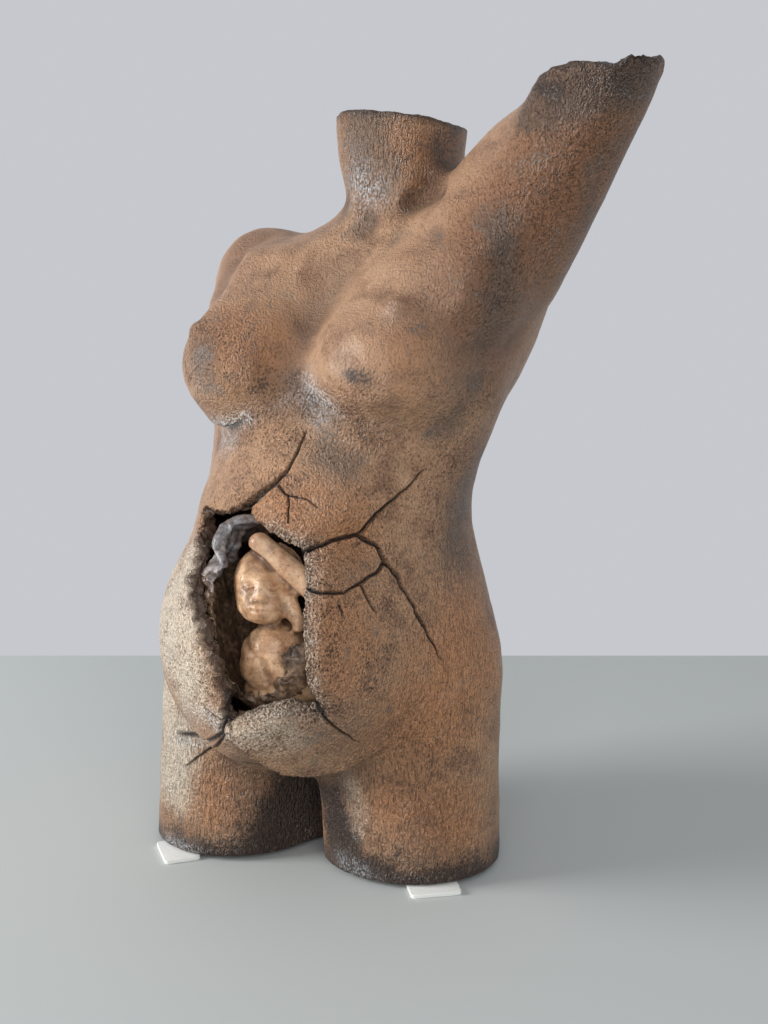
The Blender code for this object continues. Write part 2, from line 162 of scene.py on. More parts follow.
# Folds and swellings of the body's front, across and up: the line, how wide it is, and how high it stands.
# A height below nothing is a crease.
FOLDS = {
    "left_collarbone": (((0.034, 0.469), (0.060, 0.4745), (0.090, 0.479), (0.120, 0.486)), 0.0070, 0.0046),
    "under_left_collarbone": (((0.046, 0.455), (0.080, 0.459), (0.112, 0.464)), 0.0090, -0.0030),
    "over_left_collarbone": (((0.050, 0.487), (0.075, 0.492), (0.098, 0.500)), 0.0080, -0.0048),
    "right_collarbone": (
        ((0.018, 0.466), (-0.013, 0.459), (-0.045, 0.456), (-0.070, 0.456)),
        0.0070, 0.0034),
    "under_right_collarbone": (((-0.004, 0.447), (-0.040, 0.441)), 0.0095, -0.0022),
    "right_neck_cord": (((0.020, 0.473), (0.010, 0.490), (0.004, 0.510)), 0.0050, 0.0022),
    "left_neck_cord": (((0.036, 0.474), (0.052, 0.492), (0.066, 0.512)), 0.0055, 0.0030),
    "breast_bone": (
        ((0.028, 0.464), (0.022, 0.430), (0.017, 0.393), (0.008, 0.368), (-0.006, 0.352)),
        0.0120, -0.0044),
    "left_breast_fold": (((0.012, 0.351), (0.045, 0.343), (0.078, 0.337), (0.109, 0.342)), 0.0085, -0.0034),
    "armpit": (((0.146, 0.470), (0.152, 0.437), (0.140, 0.393), (0.128, 0.365)), 0.0095, -0.0052),
    "armpit_fold": (((0.110, 0.470), (0.126, 0.436), (0.122, 0.400)), 0.0085, 0.0036),
    "side_fold": (((0.150, 0.420), (0.142, 0.380), (0.128, 0.340)), 0.0070, 0.0022),
    "shoulder_ridge": (
        ((-0.068, 0.468), (-0.052, 0.446), (-0.053, 0.416), (-0.058, 0.398)),
        0.0060, 0.0030),
    "shoulder_plane": (((-0.082, 0.458), (-0.080, 0.437), (-0.078, 0.418)), 0.0100, -0.0036),
    "rib_edge": (((-0.030, 0.322), (0.020, 0.333), (0.070, 0.329), (0.110, 0.316)), 0.0080, 0.0016),
}
# Small forms: the middle, how wide it is, how high it stands.
SPOTS = {
    "right_nipple": ((-0.0586, -0.0789, 0.3978), 0.0048, 0.0040),
    "right_areola": ((-0.0586, -0.0789, 0.3978), 0.0120, 0.0016),
    "left_nipple": ((0.0878, -0.0498, 0.4154), 0.0048, 0.0040),
    "left_areola": ((0.0878, -0.0498, 0.4154), 0.0120, 0.0016),
    "neck_notch": ((0.028, 0.009, 0.473), 0.0085, -0.0065),
    "above_right_breast": ((-0.036, -0.052, 0.428), 0.0200, 0.0055),
    "above_left_breast": ((0.064, -0.040, 0.436), 0.0200, 0.0035),
}
# Places where the whole wall is moved a little: the line, how far it reaches, the step.
SWELLS = {
    "neck_rim_left": (((0.010, 0.022, 0.548), (-0.008, 0.045, 0.546)), 0.020, (0.0, 0.0, 0.0065)),
    "neck_rim_right": (((0.080, 0.064, 0.546), (0.074, 0.085, 0.546)), 0.026, (-0.0022, -0.0012, -0.0085)),
    "neck_foot": (((0.000, 0.023, 0.494), (-0.010, 0.045, 0.494)), 0.013, (0.0055, 0.0032, -0.0010)),
    "arm_corner": (((0.165, 0.006, 0.562), (0.185, 0.007, 0.567)), 0.014, (0.0, 0.0, 0.0055)),
    "arm_inner_side": (((0.142, 0.017, 0.559), (0.128, 0.010, 0.530)), 0.016, (0.0055, 0.0025, -0.0025)),
    "arm_back_corner": (((0.134, 0.050, 0.556), (0.138, 0.036, 0.558)), 0.014, (0.0060, 0.0, -0.0060)),
    "arm_outer_side": (
        ((0.222, 0.045, 0.550), (0.187, 0.043, 0.481), (0.160, 0.038, 0.425)),
        0.022, (0.0036, 0.0016, -0.0022)),
    "left_ribs": (((0.130, 0.010, 0.360), (0.122, 0.010, 0.320)), 0.022, (0.0026, 0.0010, 0.0)),
    "left_waist": (((0.111, 0.016, 0.282), (0.111, 0.016, 0.270)), 0.016, (-0.0020, -0.0010, 0.0)),
    "left_hip": (((0.122, 0.023, 0.205), (0.133, 0.023, 0.150)), 0.026, (0.0030, 0.0015, 0.0)),
    "right_waist": (((-0.070, -0.070, 0.262), (-0.085, -0.055, 0.245)), 0.018, (-0.0030, -0.0016, 0.0)),
}
# Forms that hang over what is below: the lower edge as across and up, swelling above it, drop below it,
# how far each fades, and how far the edge sags.
OVERHANGS = {
    "belly": (
        ((-0.020, 0.137), (-0.010, 0.128), (0.002, 0.111), (0.014, 0.098), (0.030, 0.0925), (0.050, 0.0945),
         (0.066, 0.102), (0.080, 0.111)),
        0.0060, 0.0100, 0.022, 0.030, 0.0050),
    "right_breast": (
        ((-0.110, 0.356), (-0.090, 0.341), (-0.068, 0.3325), (-0.052, 0.332), (-0.040, 0.3345),
         (-0.028, 0.340)),
        0.0024, 0.0050, 0.018, 0.022, 0.0030),
}
# Furrows of the back, across and up: the line, how wide it is, how high it stands.
BACK_FURROWS = {
    "spine": (((0.030, 0.470), (0.018, 0.390), (0.006, 0.290), (0.000, 0.205)), 0.010, -0.0050),
    "seat": (((0.000, 0.180), (-0.001, 0.120), (-0.002, 0.045)), 0.007, -0.0110),
    "left_blade": (((0.052, 0.450), (0.066, 0.405), (0.090, 0.375)), 0.010, -0.0030),
    "right_blade": (((-0.006, 0.440), (-0.030, 0.398), (-0.060, 0.372)), 0.010, -0.0030),
}
# The open cuts of the body: a place on the cut, the way it faces, how far round it reaches.
BASE_HEIGHT = -0.006
NECK_CUT = ((0.030, 0.062, 0.551), (-0.06, 0.0, 1.0), 0.075)
ARM_CUT = ((0.190, 0.046, 0.571), (-0.20, 0.0, 1.0), 0.062)

# Folds fade in from the first depth of FOLD_FRONT and are full at the second. The ends of folds and furrows
# fade over a share of their length, down to what is left at the tips.
FOLD_FRONT = (0.045, 0.025)
FOLD_ENDS = (0.20, 0.25)
FURROW_ENDS = (0.25, 0.0)
# The unevenness that the hand leaves: height, size, start.
HAND_MARKS = ((0.0006, 0.028, 3.1), (0.00025, 0.009, 7.7))
# Cracks wander by a strength, size and start. They close over a share of their length at the tip, and grow
# shallower by a share on the way there.
CRACK_WANDER = (0.0008, 0.007, 1.9)
CRACK_TIP = 0.06
CRACK_RISE = 0.6
# Hanging forms fade at their ends and between two depths. Above its edge each sags over this height.
HANG_ENDS = 0.014
HANG_DEPTH = (0.015, 0.045)
HANG_SAG = 0.006
# The cleft between the thighs: half its width, its depth, between which heights and depths it fades in, and
# how wide its finer net is. The neck flares by a share of its width between two heights.
CLEFT = 0.0062
CLEFT_DEPTH = 0.025
CLEFT_HEIGHT = (0.095, 0.065)
CLEFT_BACK = (0.030, -0.025)
CLEFT_NET = 0.014
NECK_FLARE = 0.03
NECK_FLARE_HEIGHT = (0.497, 0.552)

# The torn lip of the belly. The clay crumbles round the whole of it. On the left the lip is drawn back, more
# so high up, and the inner skin is broken away in flakes. Steps are across, up and out on the board.
LIP_LEFT = (0.004, -0.008)
LIP_HIGH = (0.245, 0.265)
CRUMBLE = 0.0040
CRUMBLE_REACH = 0.013
DRAWN_REACH = 0.024
DRAWN_STEP = (-0.0030, 0.0, 0.0)
DRAWN_HIGH_STEP = (-0.0045, -0.0030, 0.0)
RAGGED_STEP = (0.0034, 0.0, 0.0)
BROKEN_REACH = 0.011
BROKEN_STEP = (0.0045, 0.0, -0.0065)
FLAKE_STEP = (0.0020, 0.0, 0.0016)
FLAKE_DRAW = np.array((1.0, 1.0, 0.4))
CRUMB_REACH = 0.010
# Layers of roughness along the open edges, the ragged line, the flakes and the crumbs: strength, size, start.
TEARS = ((1.0, 0.011, 4.4), (0.6, 0.0042, 8.2))
RAGGED = (1.0, 0.024, 9.3)
FLAKES = (1.0, 0.0036, 2.6)
CRUMBS = (0.0011, 0.0021, 5.7)
TEAR_REACH = 0.016
TEAR_SIDES = np.array((0.45, 0.45, 1.0))
ARM_TEAR = 0.0052
ARM_TIP = (0.195, 0.215)
ARM_LEAST = 0.2
NECK_TEAR = 0.0012

# How far open edges stay firm in smoothing, how far they mark the clay's colour, and how high the base
# darkens.
RIM_FIRM = 0.014
RIM_SOFTNESS = 0.10
PILLOW_LEFT = -0.004
PILLOW_SOFTNESS = 0.55
TORN_REACH = 0.017
LIP_REACH = 0.0046
CUT_REACH = 0.010
LEAST_COARSE = 0.26
BASE_DARK_HEIGHT = 0.032
BASE_DARK_WANDER = (0.016, 0.05, 5.5)
BODY_FOLD = (40, 0.0016)

# The thin sac: its net, its middle and half sizes on the board, and the outline of its tear.
SAC_GRAIN = 0.0012
SAC_SMOOTHING = 4
SAC_CENTRE = (0.004, 0.200, 0.098)
SAC_RADII = (0.050, 0.072, 0.045)
SAC_TEAR = (
    (-0.030, 0.244), (-0.009, 0.2535), (0.010, 0.268), (0.043, 0.250), (0.046, 0.196), (0.030, 0.194),
    (0.022, 0.176), (0.014, 0.158), (0.000, 0.152), (-0.013, 0.156), (-0.022, 0.183), (-0.034, 0.215),
)
# Its torn edge is thinned and ragged: how far each reaches, and the layers of raggedness. Its upper corner,
# at a bearing from its middle, is drawn up and out and tucked in low down. Its left edge lies on the wall.
SAC_FRONT = 0.01
SAC_EDGE = 0.007
SAC_THIN = (0.75, 0.955)
SAC_RAGGED = 0.016
SAC_TEARS = ((0.0060, 0.013, 6.6), (0.0034, 0.0048, 2.9))
SAC_CORNER = (55, 42)
SAC_CORNER_DEPTH = 0.03
SAC_TUCKED = (38, 8)
SAC_SMOKED = (34, 56)
SAC_FAR = 0.014
SAC_TIP = 0.010
SAC_LEFT = (-0.004, -0.024)
CORNER_STEP = (0.0, 0.0, 0.0125)
CORNER_FAR_STEP = (-0.0160, 0.0080, -0.0025)
CORNER_TIP_STEP = (0.0035, -0.0055, 0.0010)
TUCKED_STEP = (0.0045, 0.0, -0.0050)
LEFT_STEP = (-0.0050, 0.0, 0.0045)
CRUMPLES = ((0.0012, 0.011, 2.2), (0.0006, 0.0036, 5.1))
SAC_FOLD = (20, 0.0014)

# Where the colours of the firing lie, where shade and highlights are painted, and where the clay is coarse,
# combed or glossy: a line, how far it reaches to either side, its strength.
FIRING_AND_LIGHT = {
    "rust": (
        (((0.190, 0.012, 0.535), (0.168, 0.006, 0.487), (0.150, -0.005, 0.470)), 0.034, 1.0),
        (((-0.006, -0.082, 0.386), (-0.030, -0.090, 0.400)), 0.030, 0.8),
        (((0.104, -0.065, 0.378), (0.100, -0.060, 0.390)), 0.024, 0.6),
        (((0.030, -0.095, 0.275), (0.070, -0.088, 0.268)), 0.026, 0.9),
        (((0.083, -0.117, 0.185), (0.070, -0.120, 0.210)), 0.040, 0.75),
        (((0.127, -0.011, 0.178), (0.111, -0.041, 0.124)), 0.040, 0.9),
        (((0.091, -0.049, 0.062), (0.121, -0.026, 0.045)), 0.030, 0.8),
        (((-0.053, -0.074, 0.037), (-0.060, -0.074, 0.050)), 0.024, 0.7),
        (((0.055, 0.022, 0.530), (0.066, 0.030, 0.505)), 0.016, 0.8),
    ),
    "umber_and_shade": (
        (((0.235, 0.035, 0.562), (0.185, 0.012, 0.510), (0.155, 0.000, 0.455), (0.130, 0.000, 0.400)),
         0.042, 1.1),
        # Painted shade on the neck's shaded side, then on the shoulder's cut plane.
        (((0.085, 0.055, 0.545), (0.070, 0.035, 0.510)), 0.016, 0.9),
        (((-0.080, 0.016, 0.464), (-0.086, 0.004, 0.452), (-0.082, -0.020, 0.430)), 0.018, 0.9),
        (((0.115, 0.010, 0.300), (0.118, 0.000, 0.240)), 0.030, 0.6),
        (((-0.004, -0.082, 0.372), (-0.016, -0.088, 0.392), (-0.034, -0.086, 0.408)), 0.016, 0.55),
        (((0.100, -0.055, 0.420), (0.092, -0.062, 0.402)), 0.014, 0.45),
    ),
    "smoke": (
        (((0.032, 0.013, 0.514), (0.020, 0.014, 0.540)), 0.022, 0.85),
        (((0.165, 0.012, 0.548), (0.190, 0.006, 0.556), (0.224, 0.025, 0.569)), 0.016, 1.5),
        # Painted shade down the armpit.
        (((0.146, -0.010, 0.470), (0.152, -0.010, 0.437), (0.137, -0.005, 0.393)), 0.012, 0.95),
        (((0.126, -0.001, 0.365), (0.109, -0.024, 0.331)), 0.011, 0.7),
        (((0.112, 0.025, 0.296), (0.111, 0.021, 0.282), (0.112, -0.006, 0.246)), 0.022, 0.75),
        (((0.045, -0.072, 0.312), (0.062, -0.072, 0.308)), 0.010, 0.8),
        (((-0.050, -0.086, 0.398), (-0.046, -0.093, 0.375)), 0.014, 0.7),
        (((0.041, -0.057, 0.075), (0.044, -0.055, 0.040)), 0.014, 0.8),
        (((0.205, 0.030, 0.530), (0.168, 0.051, 0.444)), 0.014, 0.6),
        (((0.075, -0.105, 0.135), (0.060, -0.115, 0.150)), 0.020, 0.5),
    ),
    "pale_and_highlight": (
        (((-0.034, -0.127, 0.243), (-0.020, -0.140, 0.208), (-0.020, -0.153, 0.164)), 0.026, 0.8),
        (((0.015, -0.150, 0.135), (0.046, -0.134, 0.131)), 0.020, 0.6),
        (((-0.094, -0.075, 0.085), (-0.100, -0.076, 0.050)), 0.022, 1.0),
        # The bands below are painted highlights where the light falls on the right hip and thigh and the left
        # thigh's side.
        (((-0.060, -0.110, 0.190), (-0.062, -0.100, 0.215)), 0.034, 0.8),
        (((-0.041, -0.144, 0.187), (-0.044, -0.135, 0.214)), 0.030, 0.9),
        (((-0.109, -0.066, 0.109), (-0.105, -0.070, 0.130)), 0.030, 0.8),
        (((-0.105, -0.070, 0.125), (-0.085, -0.088, 0.155), (-0.062, -0.110, 0.185)), 0.030, 0.6),
        (((0.053, -0.058, 0.068), (0.059, -0.055, 0.036)), 0.012, 0.55),
    ),
    "soot_and_shade": (
        (((0.070, -0.080, 0.371), (0.080, -0.078, 0.368)), 0.006, 0.8),
        (((-0.004, -0.080, 0.360), (0.004, -0.076, 0.366)), 0.010, 0.55),
        (((-0.098, -0.075, -0.006), (-0.069, -0.082, -0.008), (-0.023, -0.055, -0.006)), 0.014, 0.95),
        # Painted shade in the cleft between the thighs.
        (((-0.020, -0.052, 0.000), (-0.008, -0.031, 0.050), (0.004, -0.030, 0.075)), 0.022, 1.3),
        (((0.030, -0.050, 0.050), (0.036, -0.052, 0.020), (0.050, -0.055, 0.000), (0.078, -0.055, -0.006)),
         0.016, 1.2),
        (((0.075, -0.055, -0.006), (0.125, -0.030, -0.006)), 0.009, 0.8),
        # Painted shade on the neck's shaded side.
        (((0.078, 0.045, 0.540), (0.082, 0.050, 0.515)), 0.016, 0.55),
        (((0.150, 0.012, 0.552), (0.190, 0.006, 0.562), (0.228, 0.030, 0.572)), 0.011, 0.55),
        # Painted shade in the armpit.
        (((0.150, -0.011, 0.462), (0.147, -0.012, 0.421)), 0.010, 0.36),
        # Painted shade under the belly's overhang.
        (((0.000, -0.120, 0.090), (0.030, -0.090, 0.080)), 0.014, 0.8),
    ),
    "coarse": (
        (((0.050, -0.110, 0.230), (0.060, -0.110, 0.150)), 0.070, 1.0),
        (((0.090, -0.050, 0.060), (0.090, -0.050, 0.010)), 0.060, 1.0),
        (((-0.060, -0.060, 0.060), (-0.060, -0.060, 0.010)), 0.060, 1.0),
        (((0.034, 0.030, 0.540), (0.034, 0.030, 0.500)), 0.034, 1.0),
        (((0.165, 0.012, 0.548), (0.224, 0.025, 0.569)), 0.024, 1.0),
        (((-0.030, -0.070, 0.330), (0.060, -0.070, 0.330)), 0.022, 0.9),
        (((-0.046, -0.085, 0.375), (-0.040, -0.090, 0.390)), 0.026, 0.9),
        (((-0.030, -0.130, 0.240), (-0.030, -0.130, 0.160)), 0.050, 0.55),
        (((0.205, 0.020, 0.545), (0.168, 0.005, 0.480), (0.150, -0.005, 0.440)), 0.036, 0.7),
        (((0.118, 0.000, 0.340), (0.112, 0.000, 0.260)), 0.036, 0.7),
    ),
    # Painted highlights: white glints under the breasts, by the star crack, on the right thigh, at the
    # thighs' feet and on the neck.
    "painted_highlight": (
        (((-0.051, -0.067, 0.332), (-0.035, -0.072, 0.334), (-0.019, -0.077, 0.337)), 0.0045, 1.0),
        (((-0.053, -0.061, 0.318), (-0.035, -0.073, 0.318)), 0.006, 0.7),
        (((0.025, -0.066, 0.360), (0.037, -0.067, 0.346)), 0.008, 1.0),
        (((0.007, -0.144, 0.128), (0.000, -0.148, 0.140)), 0.006, 0.8),
        (((-0.091, -0.075, 0.082), (-0.067, -0.078, 0.086)), 0.004, 0.5),
        (((-0.099, -0.079, -0.005), (-0.074, -0.086, -0.005)), 0.006, 0.7),
        (((0.043, -0.051, 0.004), (0.063, -0.053, -0.001)), 0.005, 0.45),
        (((0.020, 0.014, 0.502), (0.030, 0.013, 0.497)), 0.010, 0.7),
    ),
    "combed": (
        (((0.090, -0.050, 0.080), (0.090, -0.050, 0.000)), 0.050, 1.0),
        (((-0.060, -0.060, 0.070), (-0.060, -0.060, 0.000)), 0.045, 1.0),
        (((0.034, 0.020, 0.545), (0.034, 0.020, 0.500)), 0.030, 0.9),
        (((0.110, 0.000, 0.200), (0.110, -0.020, 0.120)), 0.045, 0.6),
    ),
    "gloss": (
        (((0.032, 0.013, 0.492), (0.020, 0.013, 0.520)), 0.014, 1.0),
        (((0.067, -0.079, 0.387), (0.060, -0.079, 0.380)), 0.010, 0.8),
        (((0.030, -0.069, 0.356), (0.046, -0.069, 0.349)), 0.010, 1.0),
        (((-0.050, -0.070, 0.330), (-0.030, -0.076, 0.332)), 0.007, 1.0),
        (((0.006, -0.070, 0.349), (0.010, -0.068, 0.352)), 0.005, 0.9),
        (((0.089, -0.052, 0.413), (0.086, -0.056, 0.408)), 0.008, 0.7),
        (((-0.046, -0.093, 0.378), (-0.050, -0.090, 0.365)), 0.010, 0.7),
        (((-0.014, -0.145, 0.140), (-0.034, -0.130, 0.130)), 0.008, 0.9),
        (((-0.105, -0.072, -0.004), (-0.080, -0.084, -0.005)), 0.007, 1.0),
        (((0.040, -0.055, 0.006), (0.070, -0.058, -0.002)), 0.008, 0.9),
        (((0.050, -0.060, 0.070), (0.058, -0.055, 0.036)), 0.008, 0.7),
    ),
}

# The baby's solids, and its arms on the board: across, up, depth and radius at either end. The head's crown
# is tucked in behind the raised arm, above the line where the arm lies on it.
BABY_SOLIDS = ("baby_head", "baby_trunk", "baby_raised_arm", "baby_bent_arm")
LIMBS = {
    "raised_arm": ((-0.0068, 0.2548, 0.1070, 0.0078), (0.0370, 0.2258, 0.1115, 0.0090)),
    "bent_arm": ((0.0190, 0.2195, 0.1170, 0.0058), (0.0262, 0.2030, 0.1175, 0.0060)),
}
CROWN_EDGE = ((-0.030, 0.2600), (-0.0100, 0.2512), (-0.0005, 0.2448), (0.0154, 0.2311), (0.032, 0.2190))
CROWN_STEP = 0.0120
CROWN_FADE = 0.0090
CROWN_DEPTH = (0.085, 0.105)
BABY_SEAM = 0.0006
BABY_GRAIN = 0.0011
BABY_SMOOTHING = 10

# The baby's face, in a child's common proportions: eyes half way down the head, then nose, mouth and chin.
FACE_MIDDLE = (-0.001, 0.2258, 0.107)
FACE_TURN = math.radians(12)
FACE_NOD = math.radians(-6)
FACE_SIDE = 0.017
FACE_CHIN = -0.025
FACE_BROW = 0.011
FACE_DEPTH = 0.006
FACE_FADE = (0.004, 0.010)
FACE_NETS = (0.0006, 0.0003)
# Each spot stands on both sides of the face unless it is in the middle: place, half size, height.
FACE_SPOTS = (
    ((0.0088, 0.0024), (0.0048, 0.0032), -0.0024),
    ((0.0088, 0.0012), (0.0036, 0.0022), 0.0018),
    ((0.0, -0.0068), (0.0027, 0.0024), 0.0028),
    ((0.0028, -0.0076), (0.0014, 0.0014), 0.0012),
    ((0.0, -0.0108), (0.0008, 0.0014), -0.0005),
    ((0.0, -0.0125), (0.0038, 0.0010), 0.0011),
    ((0.0, -0.0152), (0.0032, 0.0011), 0.0012),
    ((0.0, -0.0195), (0.0046, 0.0026), 0.0016),
    ((0.0, -0.0160), (0.0095, 0.0075), 0.0030),
    ((0.0105, -0.0065), (0.0055, 0.0050), 0.0015),
)
# Lines of the face, drawn on both sides: eyelids, brows, the bridge of the nose and the mouth.
FACE_LINES = (
    (((0.0050, 0.0008), (0.0088, -0.0013), (0.0126, 0.0006)), 0.0006, -0.0011),
    (((0.0035, 0.0062), (0.0088, 0.0076), (0.0138, 0.0052)), 0.0022, 0.0010),
    (((0.0, 0.0045), (0.0, -0.0055)), 0.0021, 0.0015),
    (((0.0, -0.0137), (0.0046, -0.0140)), 0.0005, -0.0012),
)
# Folds of the baby on the board: under the raised arm, at the neck, and where the knee lies on the belly.
BABY_FOLDS = (
    (((-0.0120, 0.2502), (-0.0005, 0.2448), (0.0154, 0.2311)), 0.0013, -0.0018),
    (((-0.024, 0.200), (0.000, 0.2005), (0.024, 0.203)), 0.0030, -0.0020),
    (((-0.012, 0.192), (0.006, 0.180), (0.012, 0.162)), 0.0026, -0.0018),
)
# They fade in between two depths. The baby's lap is fuller and wider, and its raised arm is smoked.
BABY_FRONT = (0.104, 0.110)
BABY_LAP = (0.178, 0.148)
BABY_LAP_RISE = 0.0030
BABY_LAP_WIDER = 0.35
BABY_MIDDLE = 0.004
BABY_MARKS = ((0.0003, 0.009, 1.3),)
BABY_FOLD = (30, 0.0012)
ARM_SMOKE = 0.0085

PAD_SOLIDS = ("pad_right_front", "pad_left_front", "pad_right_back", "pad_left_back")
PAD_EDGE = 0.0006

# Sizes of the clay's pattern, in marks to the metre. Real grain and comb marks are finer than a millimetre.
# Here grain, pits and comb marks are about 1.5 mm apart, the finest that shows in the render. The lumps
# under them are 2.6 mm apart, the grit, which only breaks the tone, 0.8 mm, and clouds are 22 and 75 mm wide.
GRAINS = 1 / 0.0015
LUMPS = 1 / 0.0026
CRATERS = 1 / 0.0015
COMB = 1 / 0.0014
GRIT = 1 / 0.0008
CLOUDS = 1 / 0.022
WIDE_CLOUDS = 1 / 0.075
WARP = 1 / 0.006
WARP_STEP = (0.003, 0.003, 0.003)
# Upwards the pattern is measured short, which draws its marks out.
GRAIN_DRAW = (1.0, 1.0, 0.75)
COMB_DRAW = (1.0, 1.0, 0.20)
# Burnished clay has clouds of 10 mm, flecks of 3 mm and pinholes of 1.3 mm. A felt's nap is drawn at 0.8 mm,
# coarser than it is, so that it shows.
RUBBED_CLOUDS = 1 / 0.010
RUBBED_STAINS = 1 / 0.011
FLECKS = 1 / 0.0032
PINHOLES = 1 / 0.0013
NAP = 1 / 0.0008

# The clay's own tones, and the colours that the fire laid over it, with painted shade in umber, smoke and
# soot and painted highlight in pale, from the lowest up: how far clouds break each, its most, its colour.
CLAY_TONES = ((0.30, "8C674E"), (0.66, "C29976"))
FIRE_AND_LIGHT_LAYERS = {
    "rust": (1.6, 0.62, "B57A4E"), "umber_and_shade": (1.8, 0.70, "6E4A33"), "pale_and_highlight": (1.0, 0.80, "DACDB9"),
    "smoke": (2.4, 0.68, "5E5046"), "soot_and_shade": (2.0, 0.92, "2C211E"), "lip": (1.3, 0.80, "523C2E"),
    "cut": (1.3, 0.70, "50443C"),
}
# How grit and grain lighten and darken the clay: between which values of the pattern, and the factor at each.
# Raised grain is painted lighter as a highlight, and low grain darker, partly oxide and partly painted shade.
FINE_TONES = (
    ("grit", 0.38, 0.62, 0.84, 1.16), ("grain", 0.47, 0.36, 1.0, 0.56), ("grain", 0.53, 0.64, 1.0, 1.38))
# Dark oxide in pits and comb marks, folds and cracks: its most, its colour.
OXIDE = {"mark": (0.80, "2A1C15"), "recess": (0.55, "3A2A22"), "crack": (1.0, "1A1310")}
# The broken wall and the inside: between which values of the hollow they begin, their most, their colour.
INSIDE = ((0.36, 0.55, 0.66, "3A281F"), (0.62, 0.95, 0.80, "6E5645"))
# How much each pattern adds to the clay's relief, and how deep the relief is.
RELIEF = {"grit": 0.15, "lumps": 0.80, "comb": 1.45, "mark": -0.30}
RELIEF_DEPTH = 0.0050

# The photograph's view: a lens a little longer than normal, from the figure's left front and slightly above.
VIEW_TURN = math.radians(30)
VIEW_TILT = math.radians(10.5)
VIEW_BACK = 0.978
VIEW_SIDE = 0.043
VIEW_HEIGHT = 0.44
LENS = 45.7
SENSOR = 36
VIEW_RIGHT = np.array((math.cos(VIEW_TURN), math.sin(VIEW_TURN), 0.0))
VIEW_AHEAD = np.array((-math.sin(VIEW_TURN), math.cos(VIEW_TURN), 0.0))

# Soft lamps as the view has them: how far to the right and ahead, height, size, power.
SOFTBOXES = {"window": (-2.72, -0.35, 1.05, 1.1, 82.0), "room": (0.20, -3.20, 1.50, 2.8, 60.0)}
LAMP_AIM = Vector((0, 0, 0.28))

# A pale wall stands behind the table. It is only painted: the table's far part and the sky show its colour,
# and WALL_FOOT softens the line between them.
TABLE_SIZE = 6.0
WALL = "C6C8CD"
WALL_BACK = 0.51
WALL_FOOT = 0.002


def colour(code):
    """Turns a six-figure screen colour into the values a shader takes."""
    values = [int(code[at:at + 2], 16) / 255 for at in (0, 2, 4)]
    linear = [value / 12.92 if value <= 0.04045 else ((value + 0.055) / 1.055) ** 2.4 for value in values]
    return (*linear, 1.0)


def bell(gap, width):
    """A soft hump: one at no gap, fading over the width."""
    return np.exp(-0.5 * (gap / width) ** 2)


def nearness(gap, reach):
    """One at no gap, nothing at the reach and beyond."""
    return np.clip(1 - gap / reach, 0, 1)


def ramp(values, first, last):
    """A straight rise from nothing at the first value to one at the last."""
    return np.clip((values - first) / (last - first), 0, 1)


def new_piece(name, shape):
    """Makes an object out of a shape."""
    mesh = bpy.data.meshes.new(name)
    shape.to_mesh(mesh)
    shape.free()
    piece = bpy.data.objects.new(name, mesh)
    bpy.context.scene.collection.objects.link(piece)
    return piece


def add_modifier(piece, kind, **settings):
    """Adds a modifier with its settings."""
    made = piece.modifiers.new(kind.lower(), kind)
    for name, value in settings.items():
        setattr(made, name, value)


def apply_modifiers(piece):
    """Turns the piece into what its modifiers show."""
    graph = bpy.context.evaluated_depsgraph_get()
    mesh = bpy.data.meshes.new_from_object(
        piece.evaluated_get(graph), preserve_all_data_layers=True, depsgraph=graph)
    piece.modifiers.clear()
    piece.data = mesh


def gather(moves):
    """Puts copies of CAD solids into one shape, each with its move."""
    shape = bmesh.new()
    for solid, move in moves.items():
        first = len(shape.verts)
        shape.from_mesh(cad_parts[solid].data)
        shape.verts.ensure_lookup_table()
        bmesh.ops.translate(shape, verts=shape.verts[first:], vec=Vector(move))
    bmesh.ops.remove_doubles(shape, verts=shape.verts, dist=MERGE)
    return shape


def fuse(name, shape, seam, grain):
    """Joins solids into one clay form: their joints close, and the skin becomes an even net of one grain."""
    piece = new_piece(name, shape)
    add_modifier(piece, "DISPLACE", strength=seam, mid_level=0)
    add_modifier(piece, "REMESH", mode="VOXEL", voxel_size=grain)
    add_modifier(piece, "DISPLACE", strength=-seam, mid_level=0)
    apply_modifiers(piece)
    return piece


def add_limb(shape, start, end):
    """Adds a round limb: a ball at either end, as across, up, depth and radius, and the skin round both."""
    first = len(shape.verts)
    for *place, radius in (start, end):
        middle = Vector(to_board(np.array((place,)))[0] + FIGURE)
        bmesh.ops.create_icosphere(shape, subdivisions=3, radius=radius, matrix=Matrix.Translation(middle))
    shape.verts.ensure_lookup_table()
    bmesh.ops.convex_hull(shape, input=shape.verts[first:])


def places_of(piece):
    """The points of a piece, measured from the figure's own middle."""
    points = np.empty(len(piece.data.vertices) * 3)
    piece.data.vertices.foreach_get("co", points)
    return points.reshape(-1, 3) - FIGURE


def set_places(piece, places):
    """Puts the points of a piece where they belong."""
    piece.data.vertices.foreach_set("co", (places + FIGURE).ravel())
    piece.data.update()


def facings_of(piece):
    """Which way the skin faces at every point."""
    facings = np.empty(len(piece.data.vertices) * 3)
    piece.data.vertex_normals.foreach_get("vector", facings)
    return facings.reshape(-1, 3)


def board_of(places):
    """Across, up and depth on the board, for every place."""
    return np.column_stack((places @ BOARD_RIGHT, places[:, 2], places @ BOARD_OUT))


def on_board(places):
    """Across and up on the board, for every place."""
    return board_of(places)[:, :2]


def to_board(steps):
    """Turns steps across, up and out on the board into steps of the figure."""
    return np.outer(steps[:, 0], BOARD_RIGHT) + np.outer(steps[:, 1], UP) + np.outer(steps[:, 2], BOARD_OUT)


def shift(places, steps):
    """Moves places by steps across, up and out on the board, each by its own share of the step."""
    for share, step in steps:
        places = places + to_board(np.outer(share, step))
    return places


